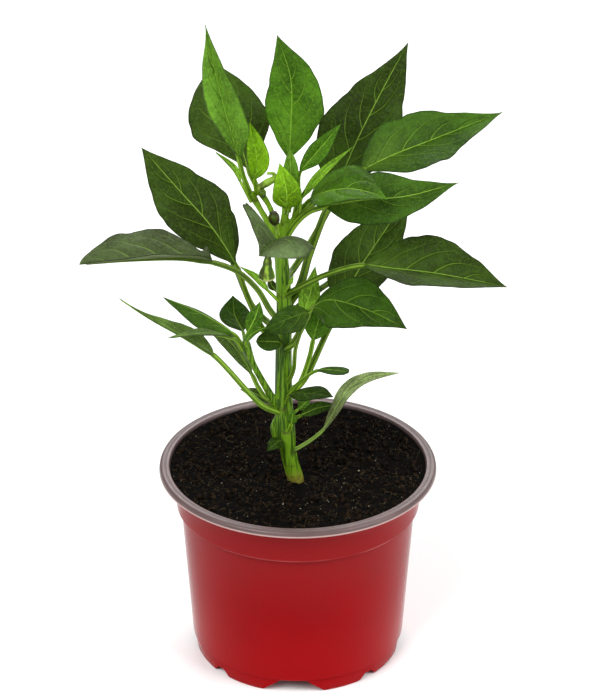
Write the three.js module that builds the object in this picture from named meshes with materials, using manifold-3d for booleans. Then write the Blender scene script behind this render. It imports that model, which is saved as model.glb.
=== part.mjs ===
// Potted chilli pepper plant: a nursery pot filled with soil, and a young plant that stands in it.
// Millimetres, +Z up. The origin is on the pot's axis, on the surface that the pot stands on.
// The plant's own front, with its folded and its hanging leaf, faces -Y.
import * as THREE from 'three';
import { mergeVertices } from 'three/addons/utils/BufferGeometryUtils.js';
import Module from 'manifold-3d';

const wasm = await Module();
wasm.setup();

// Pot
const POT_HEIGHT = 97;
const RIM_RADIUS = 65;
const RIM_DEPTH = 2.7;
const RIM_FLAT_OUTER = 64;
const RIM_FLAT_INNER = 60.4;
const COLLAR_RADIUS = 57.5;
const COLLAR_BOTTOM = 76.3;
const COLLAR_FLARE = 87;
const BODY_TOP_RADIUS = 55.2;
const BODY_BOTTOM_RADIUS = 50.4;
const BODY_BOTTOM = 7.4;
const FOOT_RADIUS = 49.2;
const FOOT_INNER_RADIUS = 41.5;
const FOOT_EDGE = 0.8;
const POT_WALL = 1;
const FLOOR_UNDERSIDE = 5.6;
const FLOOR_TOP = 6.7;
const PAD_RADIUS = 12;
const POT_SEGMENTS = 40;

// The notches round the foot, wide and narrow by turns, and the drain holes in the floor behind them
const NOTCH_PAIRS = 4;
const NOTCH_TURN = -2.5;
const WIDE_NOTCH = { low: 30, high: 11.6, height: 7 };
const NARROW_NOTCH = { low: 10.5, high: 4, height: 3.5 };
const DRAIN_RADIUS = 3.2;
const DRAIN_CIRCLE = 30;

// Soil
const SOIL_EDGE = 95;
const SOIL_CENTRE = 91.6;
const SOIL_LUMP = 0.9;
const SOIL_RINGS = 7;

// Fit
const GAP = 0.3;

// Stem and twigs: [x, y, z, radius] along each
const STEM = [
  [0.5, -9.5, 61, 3.4],
  [-0.8, -8.5, 91, 3.9],
  [-3.2, -8.2, 101, 3.7],
  [-4.6, -7.7, 109, 3.8],
  [-5.5, -7, 117, 4.6],
  [-6.4, -6, 133, 4.1],
  [-6.4, -4.5, 158, 3.8],
  [-6.2, -3, 183, 3.5],
  [-7.6, -1.5, 207, 3.1],
  [-8.6, -1, 216, 2.8],
];
const TWIGS = [
  [[-8.4, -1.2, 211, 2.2], [-11.5, -2, 219, 1.9], [-16, -2.5, 228, 1.6], [-21, -3, 236.5, 1.9]],
  [[-8.4, -1, 212, 2], [-10.5, -0.4, 220, 1.7], [-14, 0, 229, 1.5], [-18, 0, 237.5, 1.7]],
  [[-8.4, -1.2, 211, 2.4], [-6.8, -1.6, 219, 2.1], [-5.2, -2, 228, 1.9]],
  [[-8.4, -1.2, 210, 2.3], [-4.5, -2.4, 218, 1.9], [-1, -3.4, 225, 1.7], [2, -4, 231, 1.8]],
  [[-7, -6, 125, 2], [-10, -8, 132, 1.9], [-16, -10.5, 145, 1.6], [-20.5, -13, 156, 1.5], [-24, -14, 166.6, 2.6]],
  [[-7.5, -7, 129, 1.2], [-11, -8, 119.5, 1.9], [-9.5, -8.5, 113.5, 1.5], [-6, -8.2, 108, 0.9]],
];

// Flower buds: [x, y, z, radius] along the stalk and the bud
const BUDS = [
  {
    name: 'bud_hanging', colour: 'bright', steps: 16,
    line: [[-8, -2, 207, 0.9], [-11.6, -12, 213, 0.9], [-13.2, -18, 211.6, 1.3], [-13.4, -18.4, 209, 1.9],
      [-13.6, -18.4, 206, 2.1], [-13.8, -18.2, 203, 3.4], [-13.8, -18, 200.4, 3.8], [-13.8, -18, 199, 2.4]],
  },
  {
    name: 'bud_round', colour: 'bright', steps: 14,
    line: [[-8.4, -1.2, 214, 0.8], [-9.6, -7, 219, 0.8], [-10, -9.4, 222.5, 1], [-10, -10, 224.5, 2.4],
      [-10, -10.2, 227, 2.7], [-10, -10.2, 229.5, 1.4]],
  },
  {
    name: 'bud_small', colour: 'bright', steps: 16,
    line: [[-15.6, -0.4, 233.5, 0.9], [-15, -5.6, 238, 1], [-16.8, -8.8, 241.6, 1.4], [-13.6, -9.6, 244.4, 1.8],
      [-10.4, -9.8, 246.6, 1.4], [-10.6, -10.4, 249, 0.8], [-13.6, -11.2, 249.6, 0.6]],
  },
];

// Leaf shape shared by all the leaves
const BLADE_THICKNESS = 0.64;
const BASE_SHAPE = 0.9;
const POINT_SHAPE = 1.15;
const BLADE_COLUMNS = 4;
const STALK_BLEND = 0.12;
const ROW_SPACING = 1.3;
const RIB_TIP_RADIUS = 0.42;
const WAVE_LENGTH = 26;
const ROOT_SWELLING = 1.25;

const GREEN = {
  dark: 0x33521f,
  middle: 0x3f6e22,
  bright: 0x5f9a1c,
  pale: 0x8aa455,
  stem: 0x5c8a22,
};

// Each leaf: stalk is the way from inside the stem to the blade, midrib goes on from there to the tip.
// faces is where the upper side looks at the blade's base and tip. half is the half-width left and
// right of the midrib, seen from above with the tip ahead. lift is how far each half rises, in degrees.
const LEAVES = [
  // The crown
  {
    name: 'leaf_tall_left', colour: 'bright', rows: 10, radius: 1.1,
    stalk: [[-21, -3, 235.5], [-24, -5, 245], [-26, -6, 254]],
    midrib: [[-30, -9, 271], [-35, -10, 293], [-40, -5, 317]],
    faces: [[0.35, -0.94, 0.1], [-0.35, -0.94, 0.1]],
    half: [8, 10.5], lift: [30, 38], widest: [0.5, 0.36], wave: 0.4,
    base: [1.2, 0.9],
    point: [1.5, 1.15],
  },
  {
    name: 'leaf_tall_middle', colour: 'bright', rows: 10, radius: 1.2,
    stalk: [[-5.4, -1, 227], [-5, 1, 239], [-4, 2, 251]],
    midrib: [[-3, 5, 266], [-3, 6, 287], [-9, 1, 310]],
    faces: [[0, -0.97, 0.2], [-0.1, -0.97, 0.2]],
    half: [12, 15], lift: [15, 20], widest: 0.42, wave: 0.5,
  },
  {
    name: 'leaf_broad_back', colour: 'dark', rows: 10, radius: 1.2,
    stalk: [[-17.6, 0.8, 236.6], [-20, 8, 238], [-22, 13, 240]],
    midrib: [[-27, 20, 255], [-32, 26, 269], [-38, 30, 286]],
    faces: [[-0.1, -0.9, 0.4], [-0.1, -0.9, 0.3]],
    half: [20, 16.5], lift: [10, 10], widest: [0.52, 0.42], wave: 0.8,
    base: [1.4, 1.2],
    point: [1, 1],
  },
  {
    name: 'leaf_upper_right', colour: 'dark', rows: 10, radius: 1.7,
    stalk: [[-5, -1.5, 179], [1, 2, 188], [5, 8, 200], [14, 20, 220], [17, 22, 225]],
    midrib: [[25, 30, 243], [36, 38, 264], [50, 42, 291]],
    faces: [[-0.3, -0.9, 0.4], [-0.3, -0.9, 0.2]],
    half: [18.5, 17], lift: [12, 8], widest: [0.3, 0.38], wave: 0.7,
    point: [1.45, 1.15],
  },
  {
    name: 'leaf_far_right', colour: 'middle', rows: 10, radius: 1.4,
    stalk: [[0, -3, 226.5], [14, 3, 234], [29, 9, 242]],
    midrib: [[41, 15, 246], [64, 26, 251], [93, 34, 260]],
    faces: [[0.1, -0.5, 0.85], [0.1, -0.5, 0.85]],
    half: [15.5, 17.5], lift: [22, 22], widest: [0.34, 0.36], wave: 0.7,
    point: [1.4, 1.15],
    base: [0.7, 0.9],
  },
  {
    name: 'leaf_right', colour: 'bright', rows: 10, radius: 1.3,
    stalk: [[-6, -2, 213], [0, -6, 224], [5, -7, 229], [12, -8, 232]],
    midrib: [[28, -10, 236], [48, -10, 238], [72, -6, 243]],
    faces: [[0, -0.75, 0.65], [0, -0.75, 0.65]],
    half: [12, 13], lift: [12, 12], widest: 0.33, wave: 0.6,
    point: [1.5, 1.3],
  },
  {
    name: 'leaf_folded_front', colour: 'middle', rows: 8, radius: 1.1,
    stalk: [[2.4, -4.4, 230.4], [5.4, -8.5, 235.5]],
    midrib: [[10, -12, 240], [21, -20, 246], [31, -28, 248], [39, -33, 247]],
    faces: [[0.1, -0.5, 0.85], [0.1, -0.5, 0.85]],
    half: [12.5, 12.5], lift: [12, 12], widest: 0.42, wave: 0.3, stalkRows: 2,
  },
  {
    name: 'leaf_young_right', colour: 'bright', rows: 6, radius: 0.8,
    stalk: [[-1.8, -3, 224.5], [0.4, -6.4, 239], [1, -7, 248]],
    midrib: [[8, -8, 258], [19, -8, 272]],
    faces: [[0.2, -0.9, 0.4], [0.1, -0.9, 0.4]],
    half: [4.6, 4.6], lift: [25, 25], widest: 0.45, wave: 0.2, stalkRows: 2,
  },
  {
    name: 'leaf_slim_right', colour: 'bright', rows: 6, radius: 0.8,
    stalk: [[0.6, -4.8, 227.6], [1.6, -11, 237]],
    midrib: [[8, -16, 250], [24, -22, 267]],
    faces: [[0.6, -0.7, 0.3], [0.2, -0.9, 0.4]],
    half: [2.6, 2.6], lift: [30, 30], widest: 0.3, wave: 0.1, stalkRows: 2,
  },
  {
    name: 'leaf_young_left', colour: 'bright', rows: 6, radius: 0.9,
    stalk: [[-18.4, -1.6, 235], [-19, -5, 244]],
    midrib: [[-18, -8, 255], [-21, -8, 273]],
    faces: [[0.05, -0.95, 0.3], [0, -0.95, 0.3]],
    half: [4.8, 6.2], lift: [25, 25], widest: 0.42, wave: 0.2, stalkRows: 2,
  },
  {
    name: 'leaf_crown_front', colour: 'bright', rows: 6, radius: 0.9,
    stalk: [[-5.4, -2, 226], [-5, -12, 233]],
    midrib: [[-5, -16, 244], [-8, -12, 255]],
    faces: [[0, -0.85, 0.5], [0, -0.95, 0.2]],
    half: [6.6, 6.6], lift: [15, 15], widest: 0.4, wave: 0.2, stalkRows: 2,
  },
  {
    name: 'leaf_crown_back', colour: 'middle', rows: 6, radius: 0.7,
    stalk: [[-3.9, -2.6, 227], [-2.4, -5.8, 236], [-3.2, -7.6, 240]],
    midrib: [[-3.2, -8, 249], [-3.6, -8, 261]],
    faces: [[0.2, -0.95, 0.2], [0.2, -0.95, 0.2]],
    half: [3.8, 3.8], lift: [20, 20], widest: 0.4, wave: 0.1, stalkRows: 2,
  },
  {
    name: 'leaf_needle_left', colour: 'bright', rows: 6, radius: 0.7,
    stalk: [[-20.8, -4.6, 233], [-25, -9, 244]],
    midrib: [[-28, -12, 252], [-36, -18, 263]],
    faces: [[0.3, -0.6, 0.7], [0.3, -0.6, 0.7]],
    half: [1.7, 1.7], lift: [20, 20], widest: 0.35, wave: 0, stalkRows: 2,
  },
  {
    name: 'leaf_drooping_front', colour: 'pale', rows: 8, radius: 1.2,
    stalk: [[-8, -2, 213], [-9, -12, 217]],
    midrib: [[-13, -30, 223], [-17, -42, 224]],
    faces: [[0.1, 0, 1], [0.1, 0, 1]],
    half: [20, 21.2], lift: [42, 44], widest: [0.45, 0.36], wave: 0.3, stalkRows: 2,
    point: [0.4, 1.8],
    base: [0.4, 0.8],
    curl: [-64, 0],
  },
  // The middle, left
  {
    name: 'leaf_middle_left_back', colour: 'dark', rows: 10, radius: 1.3,
    stalk: [[-7, -3.5, 159], [-15, 2, 164], [-21, 4, 176], [-25, 5, 187], [-27.5, 6, 195]],
    midrib: [[-39, 11, 213], [-54, 19, 228], [-71, 26, 246]],
    faces: [[0.2, -0.8, 0.55], [0.1, -0.8, 0.55]],
    half: [16.5, 14], lift: [12, 12], widest: [0.5, 0.42], wave: 0.8,
    base: [1.2, 1.5],
  },
  {
    name: 'leaf_middle_left_front', colour: 'pale', rows: 10, radius: 1.4,
    stalk: [[-6.3, -4, 171], [-12, -8, 180], [-18, -10, 192], [-27, -12, 202], [-38, -15, 208]],
    midrib: [[-50, -19, 212], [-72, -27, 215], [-96, -34, 216]],
    faces: [[0, 0, 1], [0, 0, 1]],
    half: [16, 16], lift: [30, 30], widest: [0.42, 0.46], wave: 0.5,
    point: [1, 0.7],
  },
  {
    name: 'leaf_sliver_left', colour: 'bright', rows: 6, radius: 0.8,
    stalk: [[-6.2, -3.2, 180], [-13, -6, 189]],
    midrib: [[-19, -8, 197], [-26, -9, 203]],
    faces: [[0.4, -0.6, 0.7], [0.4, -0.6, 0.7]],
    half: [2, 2], lift: [15, 15], widest: 0.4, wave: 0, stalkRows: 2,
  },
  {
    name: 'leaf_node_left', colour: 'dark', rows: 6, radius: 0.7,
    stalk: [[-6.2, -2.8, 187], [-10, 3, 185]],
    midrib: [[-12, 5, 187], [-13, 7, 190]],
    faces: [[0, -0.7, 0.7], [0, -0.7, 0.7]],
    half: [2, 2], lift: [10, 10], widest: 0.4, wave: 0, stalkRows: 2,
  },
  // The middle, right
  {
    name: 'leaf_middle_right_back', colour: 'dark', rows: 10, radius: 1.4,
    stalk: [[-6, -5.2, 137], [1, 0, 138], [13, 6, 161], [20, 9, 176]],
    midrib: [[29, 14, 192], [41, 24, 207], [52, 32, 222]],
    faces: [[-0.1, -0.85, 0.5], [-0.1, -0.85, 0.5]],
    half: [15.5, 14], lift: [10, 10], widest: 0.35, wave: 0.8,
  },
  {
    name: 'leaf_middle_right', colour: 'dark', rows: 10, radius: 1.3,
    stalk: [[-6.2, -3.2, 185], [-1, -8, 191], [13, -9, 199], [29, -10, 204]],
    midrib: [[41, -13, 204], [63, -19, 204], [93, -26, 201]],
    faces: [[0, -0.35, 0.93], [0, -0.35, 0.93]],
    half: [17.5, 16.5], lift: [25, 25], widest: 0.42, wave: 0.6,
  },
  {
    name: 'leaf_hanging_right', colour: 'dark', rows: 10, radius: 1.4,
    stalk: [[-6.4, -4.6, 158], [-2, -12, 166], [2, -14, 175], [6, -14, 184]],
    midrib: [[13, -15, 189], [29, -19, 187], [49, -28, 181]],
    faces: [[0.1, -0.62, 0.78], [0.1, -0.62, 0.78]],
    half: [14.5, 12.5], lift: [10, 10], widest: 0.42, wave: 0.6,
    base: 0.6,
  },
  {
    name: 'leaf_across_stem', colour: 'dark', rows: 8, radius: 0.9,
    stalk: [[-5.6, -6.2, 140], [-2, -12, 152], [-1, -16, 165], [2, -19, 177], [5, -20, 185]],
    midrib: [[-4.4, -22.5, 183.4], [-16, -22, 177]],
    faces: [[0, -0.7, 0.7], [0, -0.7, 0.7]],
    half: [8, 5.5], lift: [8, 8], widest: 0.35, wave: 0.4,
  },
  {
    name: 'leaf_stem_low', colour: 'dark', rows: 6, radius: 0.8,
    stalk: [[-7.4, -4.4, 160.5], [-8, -10, 165]],
    midrib: [[-13.6, -11.6, 166.4], [-19, -12, 166.6]],
    faces: [[0, -0.75, 0.66], [0, -0.75, 0.66]],
    half: [4.8, 4.4], lift: [10, 10], widest: 0.5, wave: 0.2, stalkRows: 2,
    base: [0.5, 0.5],
    point: [0.6, 0.6],
  },
  {
    name: 'leaf_small_bright', colour: 'bright', rows: 6, radius: 0.8,
    stalk: [[-6.2, -3.4, 173], [1, -6, 177]],
    midrib: [[5, -3, 184], [8, 0, 199]],
    faces: [[0, -0.9, 0.4], [0, -0.9, 0.4]],
    half: [6, 6], lift: [15, 15], widest: 0.35, wave: 0.1, stalkRows: 2,
  },
  {
    name: 'leaf_small_dark', colour: 'dark', rows: 6, radius: 0.7,
    stalk: [[-5.6, -3.4, 174], [2, -1, 178.5]],
    midrib: [[6, 5, 182], [12, 10, 183]],
    faces: [[0, -0.8, 0.6], [0, -0.8, 0.6]],
    half: [3, 3], lift: [15, 15], widest: 0.4, wave: 0, stalkRows: 2,
  },
  {
    name: 'leaf_needle_right', colour: 'bright', rows: 5, radius: 0.6,
    stalk: [[-6.3, -2.9, 186], [-4, -12, 195]],
    midrib: [[-3, -14, 198], [-2, -16, 202]],
    faces: [[0, -0.8, 0.6], [0, -0.8, 0.6]],
    half: [1, 1], lift: [15, 15], widest: 0.4, wave: 0, stalkRows: 2,
  },
  {
    name: 'leaf_shaded_right', colour: 'bright', rows: 6, radius: 1.1,
    stalk: [[-6, -6.4, 132.5], [0.5, -7, 141.5], [5.5, -4, 155], [7, -2, 162]],
    midrib: [[9, 2, 168], [12, 8, 178]],
    faces: [[0, -0.8, 0.6], [0, -0.8, 0.6]],
    half: [6.5, 6.5], lift: [15, 15], widest: 0.35, wave: 0.3, stalkRows: 3,
  },
  // The left side shoot
  {
    name: 'leaf_long_low_left', colour: 'middle', rows: 8, radius: 1.3,
    stalk: [[-6, -7, 126], [-16, -13, 134], [-22, -16, 142], [-38, -24, 166]],
    midrib: [[-50, -31, 178.5], [-65, -39, 192], [-79, -46, 206]],
    faces: [[0.1, -0.3, 0.95], [0.1, -0.3, 0.95]],
    half: [6.5, 6], lift: [25, 25], widest: 0.22, wave: 0.3,
    point: [2.8, 2.8],
    base: [0.6, 0.6],
  },
  {
    name: 'leaf_shoot_upper', colour: 'middle', rows: 8, radius: 0.9,
    stalk: [[-25.4, -13.4, 166], [-28.5, -15.5, 172]],
    midrib: [[-42, -20, 184], [-60, -26, 196]],
    faces: [[-0.2, -0.3, 0.93], [-0.2, -0.3, 0.93]],
    half: [6.9, 6.9], lift: [-30, -30], widest: 0.45, wave: 0.2, stalkRows: 2,
    point: [1.1, 1.7],
  },
  {
    name: 'leaf_shoot_front', colour: 'middle', rows: 8, radius: 0.9,
    stalk: [[-25.2, -14.4, 163.5], [-29, -21.5, 173]],
    midrib: [[-41, -34, 182], [-57, -46, 186]],
    faces: [[0, 0, 1], [0, 0, 1]],
    half: [4, 4], lift: [10, 10], widest: 0.5, wave: 0.2, stalkRows: 2,
  },
  {
    name: 'leaf_shoot_back', colour: 'dark', rows: 6, radius: 0.8,
    stalk: [[-24, -13, 165.5], [-25, -4, 167.5]],
    midrib: [[-29, 6, 171], [-30, 14, 177]],
    faces: [[0, -0.5, 0.85], [0, -0.5, 0.85]],
    half: [7, 7], lift: [10, 10], widest: 0.5, wave: 0.2, stalkRows: 2,
  },
  {
    name: 'leaf_shoot_young', colour: 'bright', rows: 6, radius: 0.8,
    stalk: [[-23, -13.6, 166.5], [-22.6, -16, 173]],
    midrib: [[-19, -15, 181], [-17, -12, 187]],
    faces: [[0, -0.9, 0.4], [0, -0.9, 0.4]],
    half: [4, 4], lift: [15, 15], widest: 0.45, wave: 0.1, stalkRows: 2,
  },
  {
    name: 'leaf_shoot_slim', colour: 'bright', rows: 6, radius: 0.7,
    stalk: [[-22.6, -15, 164.5], [-23.4, -20.5, 170.5]],
    midrib: [[-20, -24, 177], [-14, -26, 181]],
    faces: [[0, -0.7, 0.7], [0, -0.7, 0.7]],
    half: [1.7, 1.7], lift: [15, 15], widest: 0.4, wave: 0, stalkRows: 2,
  },
  {
    name: 'leaf_low_left_back', colour: 'middle', rows: 6, radius: 1.1,
    stalk: [[-6.2, -5.4, 135], [-14, -3.6, 132.6], [-18.5, -2, 138], [-21, -0.2, 143]],
    midrib: [[-31, 7, 156], [-43, 14, 161]],
    faces: [[0, -0.6, 0.8], [0, -0.6, 0.8]],
    half: [7, 7], lift: [15, 15], widest: 0.5, wave: 0.2, stalkRows: 3,
  },
  // The low part
  {
    name: 'leaf_blunt_right', colour: 'middle', rows: 6, radius: 0.9,
    stalk: [[-6.2, -6, 134], [1, -14, 147], [9, -18, 155]],
    midrib: [[16, -22, 157], [23, -26, 158]],
    faces: [[0, 0, 1], [0, 0, 1]],
    half: [3.4, 3.4], lift: [0, 0], widest: 0.6, wave: 0, stalkRows: 3,
  },
  {
    name: 'leaf_oval_low', colour: 'dark', rows: 6, radius: 0.9,
    stalk: [[-6, -7, 130], [-4, -14, 140]],
    midrib: [[6, -24, 146], [16, -36, 151]],
    faces: [[0, -0.3, 0.95], [0, -0.3, 0.95]],
    half: [5.4, 6.4], lift: [5, 5], widest: 0.5, wave: 0.2, stalkRows: 2,
  },
  {
    name: 'leaf_low_right', colour: 'bright', rows: 6, radius: 0.9,
    stalk: [[-5, -7, 121], [1, -12, 128]],
    midrib: [[9, -12, 132], [18, -11, 133.4]],
    faces: [[0, -0.7, 0.7], [0, -0.7, 0.7]],
    half: [3, 3], lift: [10, 10], widest: 0.45, wave: 0.1, stalkRows: 2,
  },
  {
    name: 'leaf_low_right_back', colour: 'bright', rows: 5, radius: 0.7,
    stalk: [[-5.4, -7, 124], [0, -6, 128]],
    midrib: [[3, -6, 131], [6, -5, 134]],
    faces: [[0, -0.8, 0.6], [0, -0.8, 0.6]],
    half: [2.6, 2.6], lift: [10, 10], widest: 0.45, wave: 0, stalkRows: 2,
  },
  {
    name: 'leaf_pale_curved', colour: 'pale', rows: 8, radius: 0.9,
    stalk: [[-3.6, -8, 107], [1, -11, 111], [11, -14, 121]],
    midrib: [[17, -16, 133], [22, -18, 144], [31, -20, 152], [47, -24, 157]],
    faces: [[-0.6, -0.7, 0.4], [-0.3, -0.7, 0.6]],
    half: [3.4, 3.4], lift: [10, 10], widest: 0.45, wave: 0.1,
  },
  {
    name: 'leaf_soil_left', colour: 'dark', rows: 5, radius: 0.7,
    stalk: [[-4, -7.6, 108], [-7, -12, 115]],
    midrib: [[-11, -18, 116], [-14, -22, 115]],
    faces: [[0, -0.6, 0.8], [0, -0.6, 0.8]],
    half: [3.4, 3.4], lift: [10, 10], widest: 0.5, wave: 0, stalkRows: 2,
  },
  {
    name: 'leaf_dark_low_left', colour: 'dark', rows: 5, radius: 0.7,
    stalk: [[-6, -6.6, 127], [-13, 2, 127]],
    midrib: [[-20, 6, 130], [-27, 10, 130]],
    faces: [[0, -0.6, 0.8], [0, -0.6, 0.8]],
    half: [2.6, 2.6], lift: [10, 10], widest: 0.45, wave: 0, stalkRows: 2,
  },
  {
    name: 'leaf_shoot_low', colour: 'bright', rows: 5, radius: 1.0,
    stalk: [[-5, -7, 115], [-3, -14, 125]],
    midrib: [[-2.6, -15, 129], [-2, -16, 133]],
    faces: [[0, -0.9, 0.4], [0, -0.9, 0.4]],
    half: [2, 2], lift: [15, 15], widest: 0.4, wave: 0, stalkRows: 2,
  },
  // The side that the picture doesn't show
  {
    name: 'leaf_rear_right_high', colour: 'dark', rows: 8, radius: 1.4,
    stalk: [[-6.6, -2, 193], [-3, 8, 192], [4, 20, 198], [15, 40, 210], [19, 44, 217]],
    midrib: [[29, 58, 231], [42, 80, 254]],
    faces: [[-0.1, -0.6, 0.8], [-0.1, -0.6, 0.8]],
    half: [13, 13], lift: [15, 15], widest: 0.38, wave: 0.6,
  },
  {
    name: 'leaf_rear_left', colour: 'dark', rows: 8, radius: 1.4,
    stalk: [[-6.6, -3, 168], [-14, 9, 166], [-21, 15, 171], [-25, 20, 178], [-30, 26, 188]],
    midrib: [[-46, 44, 204], [-61, 62, 211]],
    faces: [[0, -0.4, 0.9], [0, -0.4, 0.9]],
    half: [13, 13], lift: [15, 15], widest: 0.38, wave: 0.6,
  },
  {
    name: 'leaf_rear_top', colour: 'middle', rows: 8, radius: 1.1,
    stalk: [[-6, -1.8, 221], [-5.6, 8, 230], [-4, 18, 243], [-4, 24, 248]],
    midrib: [[-3, 38, 259], [-6, 54, 276]],
    faces: [[0, -0.6, 0.8], [0, -0.6, 0.8]],
    half: [8.5, 8.5], lift: [15, 15], widest: 0.38, wave: 0.4,
  },
  {
    name: 'leaf_rear_right_low', colour: 'dark', rows: 8, radius: 1.4,
    stalk: [[-6.3, -3.8, 169], [0, 8, 174], [15, 20, 181], [25, 28, 183]],
    midrib: [[46, 46, 179], [73, 66, 169]],
    faces: [[0.2, 0, 1], [0.3, 0, 1]],
    half: [12, 12], lift: [15, 15], widest: 0.38, wave: 0.6,
  },
];

function closedMesh(positions, triangles) {
  const geometry = new THREE.BufferGeometry();
  geometry.setAttribute('position', new THREE.Float32BufferAttribute(positions, 3));
  geometry.setIndex(triangles);
  return geometry;
}

function weld(geometry) {
  const plain = geometry.clone();
  plain.deleteAttribute('normal');
  plain.deleteAttribute('uv');
  const welded = mergeVertices(plain, 1e-3);
  const index = welded.index.array;
  const kept = [];
  for (let i = 0; i < index.length; i += 3) {
    const [a, b, c] = [index[i], index[i + 1], index[i + 2]];
    if (a !== b && b !== c && c !== a) {
      kept.push(a, b, c);
    }
  }
  welded.setIndex(kept);
  return welded;
}

function solid(geometry) {
  const welded = weld(geometry);
  const vertProperties = new Float32Array(welded.attributes.position.array);
  const triVerts = new Uint32Array(welded.index.array);
  return new wasm.Manifold(new wasm.Mesh({ numProp: 3, vertProperties, triVerts }));
}

function geometryOf(body) {
  const mesh = body.getMesh();
  const geometry = closedMesh(Array.from(mesh.vertProperties), Array.from(mesh.triVerts));
  geometry.computeVertexNormals();
  return geometry;
}

function largest(body) {
  const parts = body.decompose();
  return parts.reduce((best, part) => (part.volume() > best.volume() ? part : best));
}

function piece(name, geometry, colour, roughness) {
  const material = new THREE.MeshStandardMaterial({ color: colour, roughness, metalness: 0 });
  const mesh = new THREE.Mesh(geometry, material);
  mesh.name = name;
  return mesh;
}

function vector(point) {
  return new THREE.Vector3(point[0], point[1], point[2]);
}

// A skin over rings that all have the same number of points, closed by a fan at each end.
function skinOver(rings) {
  const around = rings[0].length;
  const positions = [];
  const triangles = [];
  for (const ring of rings) {
    for (const point of ring) {
      positions.push(point.x, point.y, point.z);
    }
  }
  for (let i = 0; i + 1 < rings.length; i += 1) {
    for (let j = 0; j < around; j += 1) {
      const here = i * around + j;
      const next = i * around + ((j + 1) % around);
      triangles.push(here, next, next + around, here, next + around, here + around);
    }
  }
  const last = (rings.length - 1) * around;
  for (let j = 1; j + 1 < around; j += 1) {
    triangles.push(0, j + 1, j);
    triangles.push(last, last + j, last + j + 1);
  }
  return closedMesh(positions, triangles);
}

// A tapering limb along a smooth line. grow makes it thicker all round.
function limb(line, sides, steps, grow = 0) {
  const spine = new THREE.CatmullRomCurve3(line.map(vector), false, 'centripetal');
  const frames = spine.computeFrenetFrames(steps, false);
  const rings = [];
  for (let i = 0; i <= steps; i += 1) {
    const along = spine.getUtoTmapping(i / steps) * (line.length - 1);
    const before = Math.min(Math.floor(along), line.length - 2);
    const radius = THREE.MathUtils.lerp(line[before][3], line[before + 1][3], along - before) + grow;
    const centre = spine.getPointAt(i / steps);
    const ring = [];
    for (let j = 0; j < sides; j += 1) {
      const angle = (2 * Math.PI * j) / sides;
      const out = frames.normals[i].clone().multiplyScalar(Math.cos(angle) * radius);
      out.addScaledVector(frames.binormals[i], Math.sin(angle) * radius);
      ring.push(out.add(centre));
    }
    rings.push(ring);
  }
  return skinOver(rings);
}

function potProfile() {
  const wall = POT_WALL;
  const outside = [
    [0, 0],
    [PAD_RADIUS, 0],
    [PAD_RADIUS + 2, FLOOR_UNDERSIDE],
    [FOOT_INNER_RADIUS - 1.5, FLOOR_UNDERSIDE],
    [FOOT_INNER_RADIUS, 0],
    [FOOT_RADIUS - FOOT_EDGE, 0],
    [FOOT_RADIUS - 0.1, FOOT_EDGE],
    [FOOT_RADIUS + 0.2, BODY_BOTTOM - 0.8],
    [BODY_BOTTOM_RADIUS, BODY_BOTTOM],
    [BODY_TOP_RADIUS, COLLAR_BOTTOM - 0.3],
    [COLLAR_RADIUS - 0.2, COLLAR_BOTTOM + 0.5],
    [COLLAR_RADIUS + 0.1, COLLAR_FLARE],
    [COLLAR_RADIUS + 1.2, COLLAR_FLARE + 4.5],
    [RIM_FLAT_INNER + 0.6, POT_HEIGHT - wall],
    [RIM_FLAT_OUTER - 0.2, POT_HEIGHT - wall],
    [RIM_RADIUS - wall, POT_HEIGHT - RIM_DEPTH],
  ];
  const inside = [
    [RIM_RADIUS, POT_HEIGHT - RIM_DEPTH],
    [RIM_RADIUS - 0.5, POT_HEIGHT - 1.2],
    [RIM_RADIUS - 1, POT_HEIGHT - 0.4],
    [RIM_FLAT_OUTER, POT_HEIGHT],
    [RIM_FLAT_INNER, POT_HEIGHT],
    [RIM_FLAT_INNER - 0.6, POT_HEIGHT - 0.3],
    [COLLAR_RADIUS + 1.2 - wall, COLLAR_FLARE + 4.5],
    [COLLAR_RADIUS + 0.1 - wall, COLLAR_FLARE],
    [COLLAR_RADIUS - 0.2 - wall, COLLAR_BOTTOM + 0.5 + wall],
    [BODY_TOP_RADIUS - wall, COLLAR_BOTTOM - 0.3 + wall],
    [BODY_BOTTOM_RADIUS - wall, BODY_BOTTOM + wall],
    [FOOT_RADIUS - wall, FLOOR_TOP],
    [0, FLOOR_TOP],
  ];
  return outside.concat(inside);
}

function latheAboutZ(profile, segments) {
  const geometry = new THREE.LatheGeometry(profile.map(([r, z]) => new THREE.Vector2(r, z)), segments);
  geometry.rotateX(Math.PI / 2);
  return geometry;
}

function notch({ low, high, height }) {
  const spread = (low - high) / 2 / height;
  const outline = new THREE.Shape();
  outline.moveTo(-low / 2 - spread, -1);
  outline.lineTo(low / 2 + spread, -1);
  outline.lineTo(high / 2, height);
  outline.lineTo(-high / 2, height);
  outline.closePath();
  const bar = new THREE.ExtrudeGeometry(outline, { depth: 20, bevelEnabled: false });
  bar.rotateX(Math.PI / 2);
  bar.translate(0, 6 - FOOT_INNER_RADIUS, 0);
  return bar;
}

function drain() {
  const hole = new THREE.CylinderGeometry(DRAIN_RADIUS, DRAIN_RADIUS, 12, 12);
  hole.rotateX(Math.PI / 2);
  hole.translate(0, -DRAIN_CIRCLE, FLOOR_TOP);
  return hole;
}

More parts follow.
